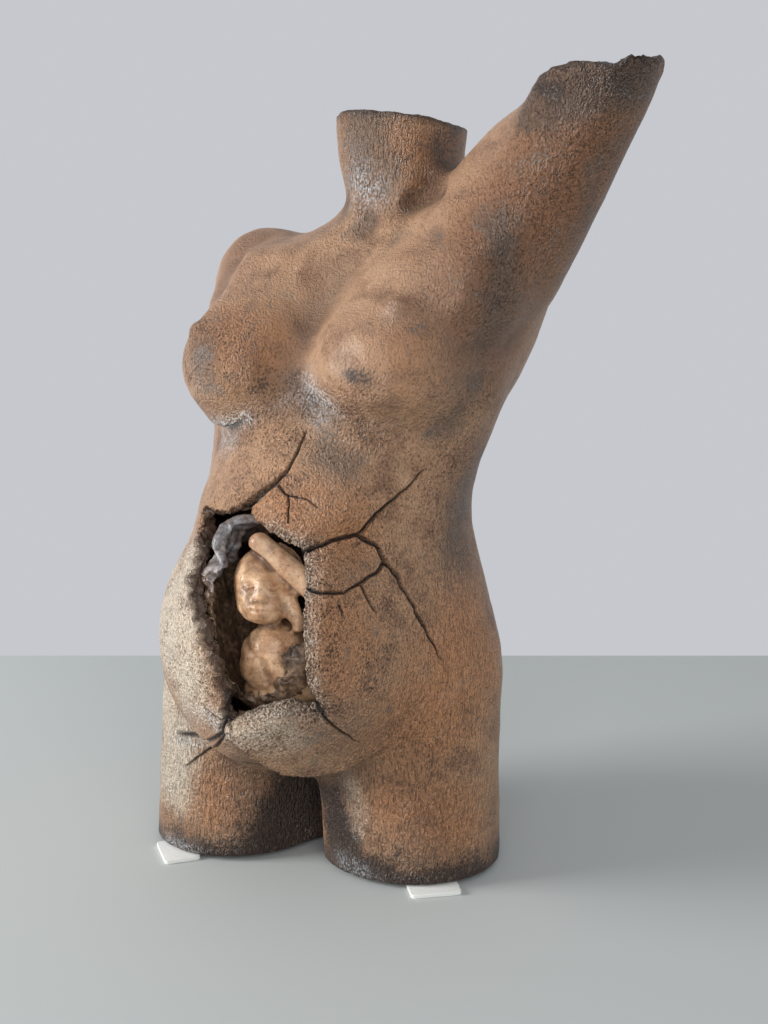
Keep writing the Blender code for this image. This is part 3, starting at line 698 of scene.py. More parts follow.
def along_line(places, line):
    """How far each place is from a bent line, and how far along the line it lies, from nothing to one."""
    line = np.array(line, float)
    steps = np.linalg.norm(np.diff(line, axis=0), axis=1)
    total = steps.sum()
    nearest = np.full(len(places), np.inf)
    share = np.zeros(len(places))
    gone = 0.0
    for start, end, step in zip(line[:-1], line[1:], steps):
        part = np.clip((places - start) @ (end - start) / step ** 2, 0, 1)
        gap = np.linalg.norm(places - (start + part[:, None] * (end - start)), axis=1)
        closer = gap < nearest
        nearest[closer] = gap[closer]
        share[closer] = ((gone + part * step) / total)[closer]
        gone += step
    return nearest, share


def line_gap(places, lines):
    """How far each place is from the nearest of several lines."""
    return np.minimum.reduce([along_line(places, line)[0] for line in lines])


def within(places, outline):
    """Which board places lie inside an outline."""
    found = np.zeros(len(places), bool)
    for (x0, y0), (x1, y1) in zip(outline, (*outline[1:], outline[0])):
        if y0 == y1:
            continue
        crosses = (places[:, 1] > min(y0, y1)) & (places[:, 1] <= max(y0, y1))
        found ^= crosses & (places[:, 0] < x0 + (places[:, 1] - y0) * (x1 - x0) / (y1 - y0))
    return found


def wander(places, size, start):
    """A smooth wandering direction at every place, always the same one."""
    shift_by = Vector((start, -start, start * 0.5))
    return np.array([noise.noise_vector(Vector(place) / size + shift_by) for place in places])


def unevenness(places, size, start):
    """A smooth wandering height at every place, between about minus one and one."""
    shift_by = Vector((start, start * 0.3, -start))
    return np.array([noise.noise(Vector(place) / size + shift_by) for place in places])


def layered(pattern, places, *layers):
    """Layers of a wandering pattern, each with its strength, its size and its start."""
    return sum(strength * pattern(places, size, start) for strength, size, start in layers)


def cut_gap(places, cut):
    """How far each place is from an open cut."""
    middle, facing, reach = (np.array(value) for value in cut)
    facing = facing / np.linalg.norm(facing)
    gap = np.abs((places - middle) @ facing)
    gap[np.linalg.norm((places - middle)[:, :2], axis=1) > reach] = FAR_AWAY
    return gap


def opening_gap(places):
    """How far each place in front is from the torn edge of the belly."""
    gap = along_line(on_board(places), OPENING)[0]
    gap[places @ BOARD_OUT < FRONT_DEPTH] = FAR_AWAY
    return gap


def rim_gap(places):
    """How far each place is from the nearest open edge."""
    base = np.abs(places[:, 2] - BASE_HEIGHT)
    cuts = (cut_gap(places, NECK_CUT), cut_gap(places, ARM_CUT))
    return np.minimum.reduce((base, *cuts, opening_gap(places)))


def broken_gap(places):
    """How far each place in front is from the nearest crack or torn edge."""
    gap = line_gap(on_board(places), [line for line, *rest in CRACKS.values()])
    gap[places @ BOARD_OUT < FRONT_DEPTH] = FAR_AWAY
    return np.minimum(gap, opening_gap(places))


def detail_gap(places):
    """How far each place is from the nearest crack, torn edge, hanging edge or cleft between the thighs."""
    gap = line_gap(on_board(places), [line for line, *rest in OVERHANGS.values()])
    gap[places @ BOARD_OUT < HANG_DEPTH[0]] = FAR_AWAY
    across, back, up = places.T
    gap[(up < CLEFT_HEIGHT[0]) & (np.abs(across) < CLEFT_NET) & (back < CLEFT_BACK[0])] = 0.0
    return np.minimum(gap, broken_gap(places))


def write_group(piece, name, weights):
    """Keeps a weight for every point under a name."""
    group = piece.vertex_groups.new(name=name)
    for index, weight in enumerate(weights):
        group.add((index,), float(weight), "REPLACE")


def read_group(piece, name):
    """Reads the weights kept under a name."""
    index = piece.vertex_groups[name].index
    weights = np.zeros(len(piece.data.vertices))
    for point in piece.data.vertices:
        for kept in point.groups:
            if kept.group == index:
                weights[point.index] = kept.weight
    return weights


def hollow_side(piece, rim):
    """Tells the wall's inner skin (one) from its outer skin (nothing). The open rims between get a half."""
    shape = bmesh.new()
    shape.from_mesh(piece.data)
    side = np.full(len(shape.verts), -1.0)
    side[rim] = 0.5
    skins = []
    for first in shape.verts:
        if side[first.index] >= 0:
            continue
        side[first.index] = 1.0
        skin = [first]
        for point in skin:
            for edge in point.link_edges:
                other = edge.other_vert(point)
                if side[other.index] < 0:
                    side[other.index] = 1.0
                    skin.append(other)
        skins.append([point.index for point in skin])
    depths = places_of(piece)[:, 1]
    outer = max(skins, key=lambda skin: depths[skin].max())
    side[outer] = 0.0
    shape.free()
    return side


def refine(piece, gap_of, reach, longest):
    """Splits the net finer where gap_of is within reach."""
    near = gap_of(places_of(piece)) < reach
    shape = bmesh.new()
    shape.from_mesh(piece.data)
    edges = [edge for edge in shape.edges
             if near[edge.verts[0].index] and near[edge.verts[1].index] and edge.calc_length() > longest]
    bmesh.ops.subdivide_edges(shape, edges=edges, cuts=1, use_grid_fill=True)
    bmesh.ops.triangulate(shape, faces=[face for face in shape.faces if len(face.verts) > 4])
    shape.to_mesh(piece.data)
    shape.free()


def keep_values(piece, **values):
    """Keeps named values on the points for the material."""
    for name, value in values.items():
        kept = piece.data.attributes.new(name, "FLOAT", "POINT")
        kept.data.foreach_set("value", np.asarray(value, np.float32))


def patch(places, bands):
    """How strongly each place lies in one of the soft bands."""
    found = np.zeros(len(places))
    for line, reach, strength in bands:
        found = np.maximum(found, strength * bell(along_line(places, line)[0], reach))
    return found


def recesses(piece, rounds, depth):
    """How deep each point lies in a fold, as a share of a depth: its place against its neighbours' mean."""
    ends = np.empty(len(piece.data.edges) * 2, np.int64)
    piece.data.edges.foreach_get("vertices", ends)
    first, second = ends.reshape(-1, 2).T
    places = places_of(piece)
    count = len(places)
    near = np.bincount(first, minlength=count) + np.bincount(second, minlength=count)
    mean = places.copy()
    for turn in range(rounds):
        total = np.column_stack([
            np.bincount(first, mean[second, axis], count) + np.bincount(second, mean[first, axis], count)
            for axis in range(3)])
        mean = 0.5 * mean + 0.5 * total / near[:, None]
    return np.clip(((mean - places) * facings_of(piece)).sum(1) / depth, 0, 1)


def fold_height(places, facings):
    """How far folds, swellings, furrows and the marks of the hand stand out of the skin or sink into it."""
    height = layered(unevenness, places, *HAND_MARKS)
    ahead = ramp(places[:, 1], *FOLD_FRONT)
    behind = ramp(facings[:, 1], 0, 0.5)
    for lines, side, (ends, least) in ((FOLDS, ahead, FOLD_ENDS), (BACK_FURROWS, behind, FURROW_ENDS)):
        for line, width, rise in lines.values():
            gap, share = along_line(places[:, (0, 2)], line)
            fade = np.clip(np.minimum(share, 1 - share) / ends, least, 1)
            height += rise * fade * side * bell(gap, width)
    for middle, width, rise in SPOTS.values():
        height += rise * bell(np.linalg.norm(places - np.array(middle), axis=1), width)
    return height


def slab_lift(board, front, hollow):
    """How far the slabs of the belly stand out of the board. Their free edges are rolled in."""
    lift = np.zeros(len(board))
    rolls = SLAB_ROLL * ramp(hollow, 1, 0.5)
    for rise, reach, edge, outline in SLABS.values():
        inside = within(board, outline) & front
        gap = along_line(board[inside], edge)[0]
        roll = rolls[inside] * np.exp(-(gap / SLAB_ROUND) ** 2)
        lift[inside] = rise * nearness(gap, reach) ** SLAB_FADE - roll
    return lift


def crack_grooves(places, board, front):
    """How wide open the cracks are at each place, from nothing to one, and how deep they are cut there."""
    crack = np.zeros(len(places))
    cut = np.zeros(len(places))
    wobble = layered(wander, places, CRACK_WANDER)[:, :2]
    for line, first_width, last_width, deep in CRACKS.values():
        gap, share = along_line(board + wobble, line)
        width = first_width + (last_width - first_width) * share
        groove = nearness(gap, width) ** 0.7 * front * ramp(share, 1, 1 - CRACK_TIP) ** 0.5
        crack = np.maximum(crack, groove)
        cut += deep * (1 - CRACK_RISE * share) * groove
    return crack, cut


def hanging_forms(board, depth):
    """How far hanging forms swell out over what is below them, and how far their lower edges sag."""
    lift = np.zeros(len(board))
    sagged = np.zeros(len(board))
    for line, swell, drop, above, below, sag in OVERHANGS.values():
        across, up = np.array(line).T
        over = board[:, 1] - np.interp(board[:, 0], across, up)
        inset = np.minimum(board[:, 0] - across[0], 0.5 * (across[-1] - board[:, 0]))
        fade = ramp(inset, 0, HANG_ENDS)
        fade = fade * fade * (3 - 2 * fade) * ramp(depth, *HANG_DEPTH)
        away = np.abs(over)
        lift += fade * np.where(over > 0, swell * np.exp(-away / above), -drop * np.exp(-away / below))
        sagged += fade * np.where(over > 0, sag * np.exp(-away / HANG_SAG), 0)
    return lift, sagged


def sculpt_body(places, facings, hollow):
    """Models the folds of the body, the standing slabs, the cracks, the hanging forms and the swells."""
    board = on_board(places)
    depth = places @ BOARD_OUT
    front = depth > FRONT_DEPTH
    outer = ramp(hollow, 0.5, 0)
    crack, cut = crack_grooves(places, board, front)
    height = fold_height(places, facings) - cut
    hang, sagged = hanging_forms(board, depth)
    lift = slab_lift(board, front, hollow) + hang
    places = places - np.outer(sagged, UP)
    across, back, up = places.T
    cleft = CLEFT_DEPTH * bell(across, CLEFT) * ramp(up, *CLEFT_HEIGHT) ** 0.7 * ramp(back, *CLEFT_BACK)
    flare = NECK_FLARE * ramp(up, *NECK_FLARE_HEIGHT) ** 1.5 * (cut_gap(places, NECK_CUT) < FAR_AWAY)
    spread = (places - np.array(NECK_CUT[0])) * (1 - UP)
    moved = places + facings * (height * outer)[:, None] + BOARD_OUT * lift[:, None]
    moved += spread * flare[:, None] + np.outer(cleft, (0, 1, 0))
    for line, reach, step in SWELLS.values():
        moved += np.outer(bell(along_line(places, line)[0], reach), step)
    return moved, crack


def left_lip(places):
    """Tells the lip on the left of the opening (one) from the slabs on its right (nothing)."""
    return ramp(places @ BOARD_RIGHT, *LIP_LEFT)


def tear_rims(places, hollow):
    """Makes the open edges rough: the belly's lip most, then the arm's end, then the neck."""
    torn = opening_gap(places)
    left = left_lip(places)
    high = ramp(places[:, 2], *LIP_HIGH)
    rough = layered(wander, places, *TEARS)
    crumble = CRUMBLE * nearness(torn, CRUMBLE_REACH) ** 1.3 * (0.40 + 0.60 * left)
    drawn = nearness(torn, DRAWN_REACH) * left
    ragged = layered(unevenness, places, RAGGED)
    broken = ramp(hollow, 0.2, 0.8) * nearness(torn, BROKEN_REACH) * left
    flakes = layered(unevenness, places * FLAKE_DRAW, FLAKES)
    moved = shift(places + rough * crumble[:, None], (
        (drawn, DRAWN_STEP), (drawn * high, DRAWN_HIGH_STEP), (drawn * ragged, RAGGED_STEP),
        (broken, BROKEN_STEP), (broken * flakes, FLAKE_STEP)))
    near = np.flatnonzero(torn < CRUMB_REACH)
    moved[near] += layered(wander, places[near], CRUMBS) * nearness(torn[near], CRUMB_REACH)[:, None]
    tip = np.maximum(ramp(places[:, 0], *ARM_TIP), ARM_LEAST)
    for cut, strength in ((ARM_CUT, ARM_TEAR * tip), (NECK_CUT, NECK_TEAR)):
        near = nearness(cut_gap(places, cut), TEAR_REACH) * strength
        moved += rough * near[:, None] * TEAR_SIDES
    return moved


def firing_and_light_values(places, hollow):
    """What the fire and the maker's tools left at every place, and where shade and highlights are painted,
    for the clay's material.
    """
    values = {name: patch(places, bands) for name, bands in FIRING_AND_LIGHT.items()}
    gap = opening_gap(places)
    left = left_lip(places)
    torn = nearness(gap, TORN_REACH) * (1 - left)
    lip = np.clip(1.2 - gap / LIP_REACH, 0, 1) * left
    cuts = np.minimum(cut_gap(places, NECK_CUT), cut_gap(places, ARM_CUT))
    climbed = BASE_DARK_HEIGHT + layered(unevenness, places, BASE_DARK_WANDER)
    # The clay is darker towards the base, up to a wandering height.
    values["soot_and_shade"] = np.maximum(values["soot_and_shade"], 1.1 * nearness(places[:, 2] - BASE_HEIGHT, climbed))
    coarse = LEAST_COARSE + (1 - LEAST_COARSE) * values["coarse"]
    values["coarse"] = np.maximum(coarse, 1.2 * torn) * (1 - 0.7 * lip)
    values["hollow"] = np.where((torn > 0.3) & (hollow < 0.8), 0.5 * hollow, hollow)
    values.update(torn=torn, lip=lip, cut=nearness(cuts, CUT_REACH))
    return values


def make_body():
    """The clay body as one fused skin."""
    moves = {solid: (0, 0, 0) for solid in BODY_SOLIDS}
    moves.update({solid: -BOARD_OUT * lift for solid, lift in SLAB_LIFT.items()})
    body = fuse("clay_body", gather(moves), SEAM, BODY_GRAIN)
    places = places_of(body)
    gap = rim_gap(places)
    side = hollow_side(body, gap < RIM_BAND)
    write_group(body, "hollow", side)
    write_group(body, "inner", side > 0.9)
    firm = np.clip(gap / RIM_FIRM, RIM_SOFTNESS, 1)
    pillow = (opening_gap(places) < RIM_FIRM) & (places @ BOARD_RIGHT > PILLOW_LEFT)
    write_group(body, "soft", np.where(pillow, np.maximum(firm, PILLOW_SOFTNESS), firm))
    add_modifier(body, "SMOOTH", factor=0.5, iterations=BODY_SMOOTHING, vertex_group="soft")
    add_modifier(body, "DECIMATE", ratio=INNER_SHARE, vertex_group="inner")
    apply_modifiers(body)
    refine(body, detail_gap, DETAIL_REACH, DETAIL_NET)
    refine(body, broken_gap, CRACK_REACH, CRACK_NET)
    hollow = read_group(body, "hollow")
    places = places_of(body)
    moved, crack = sculpt_body(places, facings_of(body), hollow)
    set_places(body, tear_rims(moved, hollow))
    body.vertex_groups.clear()
    keep_values(body, crack=crack, recess=recesses(body, *BODY_FOLD), **firing_and_light_values(places, hollow))
    return body


def split(piece, parts):
    """Divides a piece into named parts. Each keeps the whole piece's shading, so that no seam shows."""
    facings = facings_of(piece)
    centres = np.empty(len(piece.data.polygons) * 3)
    piece.data.polygons.foreach_get("center", centres)
    middles = centres.reshape(-1, 3) - FIGURE
    made = []
    for name, belongs in parts.items():
        left_out = np.flatnonzero(~belongs(middles))
        shape = bmesh.new()
        shape.from_mesh(piece.data)
        number = shape.verts.layers.int.new("number")
        for point in shape.verts:
            point[number] = point.index
        shape.faces.ensure_lookup_table()
        bmesh.ops.delete(shape, geom=[shape.faces[index] for index in left_out], context="FACES")
        kept = [point[number] for point in shape.verts]
        shape.verts.layers.int.remove(number)
        part = new_piece(name, shape)
        part.data.polygons.foreach_set("use_smooth", np.ones(len(part.data.polygons), bool))
        part.data.normals_split_custom_set_from_vertices(facings[kept])
        made.append(part)
    bpy.data.objects.remove(piece)
    return made


def fill(node, inputs):
    """Sets or links the inputs of a node."""
    for socket, value in inputs.items():
        if isinstance(value, bpy.types.NodeSocket):
            node.id_data.links.new(value, node.inputs[socket])
        else:
            node.inputs[socket].default_value = value


def add_node(tree, kind, inputs, output=0, **settings):
    """Adds a shader node with its settings and inputs, and gives back one of its outputs."""
    made = tree.nodes.new("ShaderNode" + kind)
    for name, value in settings.items():
        setattr(made, name, value)
    fill(made, inputs)
    return made.outputs[output]


def new_material(name):
    """A material, its shader, and the function that adds its nodes."""
    material = bpy.data.materials.new(name)
    material.use_nodes = True
    return material, material.node_tree.nodes["Principled BSDF"], partial(add_node, material.node_tree)


def set_stops(tone, *stops):
    """Sets the places and colours of a ramp's stops."""
    for stop, (position, code) in zip(tone.node.color_ramp.elements, stops):
        stop.position = position
        stop.color = colour(code)


def clay_patterns(node):
    """The patterns of scraped clay: grain, lumps, comb marks, grit, clouds and the distances from pits."""
    where = node("TexCoord", {}, "Object")
    warp = node("TexNoise", {"Vector": where, "Scale": WARP, "Detail": 2.0}, "Color")
    bent = node("VectorMath", {0: warp, 1: WARP_STEP}, operation="MULTIPLY")
    moved = node("VectorMath", {0: where, 1: bent}, operation="ADD")
    tall = node("VectorMath", {0: moved, 1: GRAIN_DRAW}, operation="MULTIPLY")
    drawn = node("VectorMath", {0: moved, 1: COMB_DRAW}, operation="MULTIPLY")
    kinds = {
        "grain": (tall, GRAINS, 2.0, 0.50), "lumps": (tall, LUMPS, 2.0, 0.55),
        "comb": (drawn, COMB, 2.0, 0.50), "grit": (where, GRIT, 2.0, 0.60),
        "cloud": (where, CLOUDS, 6.0, 0.62), "wide": (where, WIDE_CLOUDS, 3.0, 0.50),
    }
    made = {"crater": node("TexVoronoi", {"Vector": tall, "Scale": CRATERS, "Randomness": 1.0}, "Distance")}
    for name, (place, scale, detail, roughness) in kinds.items():
        inputs = {"Vector": place, "Scale": scale, "Detail": detail, "Roughness": roughness}
        made[name] = node("TexNoise", inputs, "Fac")
    return made


def scraped_stoneware():
    """Coarse buff stoneware, scraped and smoked: dull and pitted, tan to rust, with grey and sooty clouds,
    painted shade and painted highlights.
    """
    material, shader, node = new_material("scraped_stoneware")
    value = {name: node("Attribute", {}, "Fac", attribute_name=name)
             for name in (*FIRING_AND_LIGHT, "hollow", "crack", "torn", "lip", "cut", "recess")}
    pattern = clay_patterns(node)
    grain, cloud, crater = pattern["grain"], pattern["cloud"], pattern["crater"]

    # Pits are single, lie closer where the clouds are dark, and thin out where the clay was combed.
    patchy = node("Math", {0: cloud, 1: 0.9, 2: crater}, operation="MULTIPLY_ADD")
    sunk = node("Math", {0: crater.node.outputs["Color"], 1: 0.6, 2: patchy}, operation="MULTIPLY_ADD")
    pit = node("MapRange", {"Value": sunk, 1: 1.01, 2: 0.84, 3: 0.0, 4: 1.0})
    smooth = node("Math", {0: value["combed"], 1: -0.45, 2: 1.0}, operation="MULTIPLY_ADD")
    rough = node("Math", {0: value["coarse"], 1: smooth}, operation="MULTIPLY")
    for share in (rough, smooth):
        pit = node("Math", {0: pit, 1: share}, operation="MULTIPLY")
    score = node("MapRange", {"Value": pattern["comb"], 1: 0.43, 2: 0.34, 3: 0.0, 4: 0.6})
    score = node("Math", {0: score, 1: value["combed"]}, operation="MULTIPLY")
    value["mark"] = node("Math", {0: pit, 1: score}, operation="MAXIMUM")

    # The clay's own tone, then the layers of the firing and of painted shade and highlight, each broken up by
    # clouds and grain.
    shade = node("ValToRGB", {"Fac": cloud}, "Color")
    set_stops(shade, *CLAY_TONES)
    drift = node("Math", {0: cloud, 1: -0.5}, operation="ADD")
    speck = node("Math", {0: grain, 1: -0.5}, operation="ADD")
    drift = node("Math", {0: speck, 1: 0.7, 2: drift}, operation="MULTIPLY_ADD")
    wide_smoke = node("MapRange", {"Value": pattern["wide"], 1: 0.56, 2: 0.82, 3: 0.0, 4: 0.5})
    value["smoke"] = node("Math", {0: value["smoke"], 1: wide_smoke}, operation="MAXIMUM")
    for name, (breaking, most, code) in FIRE_AND_LIGHT_LAYERS.items():
        broken = node("Math", {0: drift, 1: breaking, 2: value[name]}, operation="MULTIPLY_ADD")
        limits = {"Value": broken, 1: 0.22, 2: 0.90, 3: 0.0, 4: most}
        spread = node("MapRange", limits, interpolation_type="SMOOTHSTEP")
        shade = node("Mix", {0: spread, 6: shade, 7: colour(code)}, 2, data_type="RGBA")

    # Chipped crumbs along the slabs' edges, and painted highlights in pale flecks on the crumbs.
    crumb = node("MapRange", {"Value": grain, 1: 0.43, 2: 0.58, 3: 0.0, 4: 1.0})
    crumbs = node("Mix", {0: crumb, 6: colour("4A3E35"), 7: colour("B3A697")}, 2, data_type="RGBA")
    chipped = node("Math", {0: drift, 1: 1.6, 2: value["torn"]}, operation="MULTIPLY_ADD")
    chipped = node("MapRange", {"Value": chipped, 1: 0.22, 2: 0.85, 3: 0.0, 4: 0.72})
    shade = node("Mix", {0: chipped, 6: shade, 7: crumbs}, 2, data_type="RGBA")
    highlight_share = node("Math", {0: value["painted_highlight"], 1: crumb}, operation="MULTIPLY")
    highlight_share = node("Math", {0: highlight_share, 1: 0.85}, operation="MULTIPLY", use_clamp=True)
    shade = node("Mix", {0: highlight_share, 6: shade, 7: colour("D6DADD")}, 2, data_type="RGBA")

    # Grit and grain lighten and darken the coarse places most. Raised grain is a painted highlight, low grain
    # partly oxide and partly painted shade.
    keen = node("MapRange", {"Value": rough, 1: 0.2, 2: 1.0, 3: 0.20, 4: 1.0})
    for kind, first, last, low, high in FINE_TONES:
        fine = node("MapRange", {"Value": pattern[kind], 1: first, 2: last, 3: low, 4: high})
        shade = node("Mix", {0: keen, 6: shade, 7: fine}, 2, data_type="RGBA", blend_type="MULTIPLY")

    # Dark oxide in pits, folds and cracks, and the darker broken wall and inside.
    for name, (most, code) in OXIDE.items():
        part = node("Math", {0: value[name], 1: most}, operation="MULTIPLY", use_clamp=True)
        shade = node("Mix", {0: part, 6: shade, 7: colour(code)}, 2, data_type="RGBA")
    for first, last, most, code in INSIDE:
        inside = node("MapRange", {"Value": value["hollow"], 1: first, 2: last, 3: 0.0, 4: most})
        shade = node("Mix", {0: inside, 6: shade, 7: colour(code)}, 2, data_type="RGBA")

    # A thin gloss where hands and smoke have polished it.
    shine = node("Math", {0: drift, 1: 1.6, 2: value["gloss"]}, operation="MULTIPLY_ADD")
    shine = node("MapRange", {"Value": shine, 1: 0.25, 2: 0.85, 3: 0.0, 4: 0.8})

    # The relief: grain, grit, lumps where the clay is coarse, ridges where it is combed, and sunken marks.
    relief = node("Math", {0: grain, 1: keen}, operation="MULTIPLY")
    heights = {"grit": pattern["grit"], "mark": value["mark"]}
    for name, place in (("lumps", "coarse"), ("comb", "combed")):
        heights[name] = node("Math", {0: pattern[name], 1: value[place]}, operation="MULTIPLY")
    for name, weight in RELIEF.items():
        relief = node("Math", {0: heights[name], 1: weight, 2: relief}, operation="MULTIPLY_ADD")
    bump = node("Bump", {"Height": relief, "Strength": 1.0, "Distance": RELIEF_DEPTH})
    fill(shader, {
        "Base Color": shade, "Roughness": 0.38, "Specular IOR Level": 0.5, "Normal": bump,
        "Coat Weight": shine, "Coat Roughness": 0.22, "Coat IOR": 1.8, "Coat Normal": bump,
    })
    return material


def burnished_clay(name, light, dark, stain_and_fold_shade, smoked, roughness, mottling):
    """Fine clay rubbed smooth: satin, with soft clouds, a few pinholes, mottling, stains and painted shade in
    folds.
    """
    material, shader, node = new_material(name)
    where = node("TexCoord", {}, "Object")
    recess, smoke = (node("Attribute", {}, "Fac", attribute_name=kept) for kept in ("recess", "smoke"))
    cloud, stains, flecks, holes = (
        node("TexNoise", {"Vector": where, "Scale": scale, "Detail": detail, "Roughness": broken}, "Fac")
        for scale, detail, broken in (
            (RUBBED_CLOUDS, 5.0, 0.6), (RUBBED_STAINS, 4.0, 0.7), (FLECKS, 4.0, 0.7), (PINHOLES, 2.0, 0.5)))
    shade = node("ValToRGB", {"Fac": cloud}, "Color")
    set_stops(shade, (0.34, dark), (0.66, light))
    rubbed = node("MapRange", {"Value": stains, 1: 0.50, 2: 0.66, 3: 0.0, 4: 0.6})
    patchy = node("MapRange", {"Value": cloud, 1: 0.36, 2: 0.58, 3: 0.3, 4: 1.0})
    smoke = node("Math", {0: smoke, 1: patchy}, operation="MULTIPLY")
    pit = node("MapRange", {"Value": holes, 1: 0.30, 2: 0.38, 3: 0.7, 4: 0.0})
    # Rubbed stains, smoke, pinholes, and painted shade in the folds.
    for strength, code in ((rubbed, stain_and_fold_shade), (smoke, smoked), (pit, "4A3426"), (recess, stain_and_fold_shade)):
        shade = node("Mix", {0: strength, 6: shade, 7: colour(code)}, 2, data_type="RGBA")
    fleck = node("MapRange", {"Value": flecks, 1: 0.40, 2: 0.62, 3: 0.45, 4: 1.7})
    shade = node("Mix", {0: mottling, 6: shade, 7: fleck}, 2, data_type="RGBA", blend_type="MULTIPLY")
    relief = node("Math", {0: cloud, 1: pit}, operation="SUBTRACT")
    bump = node("Bump", {"Height": relief, "Strength": 0.6, "Distance": 0.0006})
    fill(shader, {"Base Color": shade, "Roughness": roughness, "Normal": bump})
    return material


def white_felt():
    """Thin white felt: dull, with a short matted nap."""
    material, shader, node = new_material("white_felt")
    where = node("TexCoord", {}, "Object")
    nap = node("TexNoise", {"Vector": where, "Scale": NAP, "Detail": 3.0}, "Fac")
    tone = node("ValToRGB", {"Fac": nap}, "Color")
    set_stops(tone, (0.0, "D4D4CE"), (1.0, "F2F2EE"))
    bump = node("Bump", {"Height": nap, "Strength": 0.5, "Distance": 0.0004})
    fill(shader, {"Base Color": tone, "Roughness": 0.95, "Normal": bump})
    return material


def finish_piece(piece, material, solids):
    """Gives a piece its material, its smooth shading and its place in the frame."""
    piece.data.materials.clear()
    piece.data.materials.append(material)
    piece.data.polygons.foreach_set("use_smooth", np.ones(len(piece.data.polygons), bool))
    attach(piece, "root")
    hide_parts(*solids)


def make_sac():
    """The thin torn sac: crumpled, drawn out to a ragged edge that lies against the belly's wall."""
    sac = fuse("torn_sac", gather({"inner_sac": (0, 0, 0)}), 0.0, SAC_GRAIN)
    add_modifier(sac, "SMOOTH", factor=0.5, iterations=SAC_SMOOTHING)
    apply_modifiers(sac)
    places = places_of(sac)
    across, up, depth = board_of(places).T
    middle_across, middle_up, middle_depth = SAC_CENTRE
    gap = along_line(on_board(places), (*SAC_TEAR, SAC_TEAR[0]))[0]
    gap[depth < middle_depth - SAC_FRONT] = FAR_AWAY
    near = nearness(gap, SAC_RAGGED)
    offset = board_of(places) - np.array(SAC_CENTRE)
    swell = np.linalg.norm(offset / np.array(SAC_RADII), axis=1)
    share, thinned = SAC_THIN
    moved = places + to_board(offset * (nearness(gap, SAC_EDGE) * share * (thinned / swell - 1))[:, None])
    moved += layered(wander, places, *SAC_TEARS) * near[:, None]
    bearing = np.degrees(np.arctan2(up - middle_up, middle_across - across))
    corner_bearing, corner_width = SAC_CORNER
    corner = np.exp(-((bearing - corner_bearing) / corner_width) ** 2)
    corner *= ramp(depth, middle_depth - SAC_CORNER_DEPTH, middle_depth)
    moved = shift(moved, (
        (corner, CORNER_STEP),
        (corner * ramp(gap, 0, SAC_FAR), CORNER_FAR_STEP),
        (corner * nearness(gap, SAC_TIP), CORNER_TIP_STEP),
        (corner * ramp(bearing, *SAC_TUCKED), TUCKED_STEP),
        (ramp(across, *SAC_LEFT) * near * (1 - corner), LEFT_STEP)))
    crumple = layered(unevenness, places, *CRUMPLES)
    set_places(sac, moved + facings_of(sac) * crumple[:, None])
    smoke = 0.85 * np.clip(corner * 1.6 - 0.3, 0, 1) * ramp(bearing, *SAC_SMOKED)
    # The folds' depth gives them painted shade.
    keep_values(sac, recess=0.8 * recesses(sac, *SAC_FOLD), smoke=smoke)
    return sac


def on_face(places):
    """Sideways, up and out, measured from the middle of the baby's face."""
    offset = board_of(places) - np.array(FACE_MIDDLE)
    side = offset[:, 0] * math.cos(FACE_TURN) - offset[:, 2] * math.sin(FACE_TURN)
    ahead = offset[:, 0] * math.sin(FACE_TURN) + offset[:, 2] * math.cos(FACE_TURN)
    up = offset[:, 1] * math.cos(FACE_NOD) + ahead * math.sin(FACE_NOD)
    ahead = ahead * math.cos(FACE_NOD) - offset[:, 1] * math.sin(FACE_NOD)
    return np.column_stack((side, up, ahead))


def face_gap(places):
    """Nothing on the baby's face, much elsewhere."""
    side, up, ahead = on_face(places).T
    face = (np.abs(side) < FACE_SIDE) & (up > FACE_CHIN) & (up < FACE_BROW) & (ahead > FACE_DEPTH)
    return np.where(face, 0.0, FAR_AWAY)


def face_height(places):
    """How far the spots and lines of the baby's face stand out or sink in."""
    side, up, ahead = on_face(places).T
    rise = np.zeros(len(places))
    for (middle_side, middle_up), (wide, tall), high in FACE_SPOTS:
        for hand in ((1, -1) if middle_side else (1,)):
            away = np.hypot((side - hand * middle_side) / wide, (up - middle_up) / tall)
            rise += high * bell(away, 1)
    for line, wide, high in FACE_LINES:
        for hand in (1, -1):
            gap = along_line(np.column_stack((hand * side, up)), line)[0]
            rise += high * bell(gap, wide) * (0.5 if line[0][0] == 0 else 1)
    return rise * ramp(ahead, *FACE_FADE)


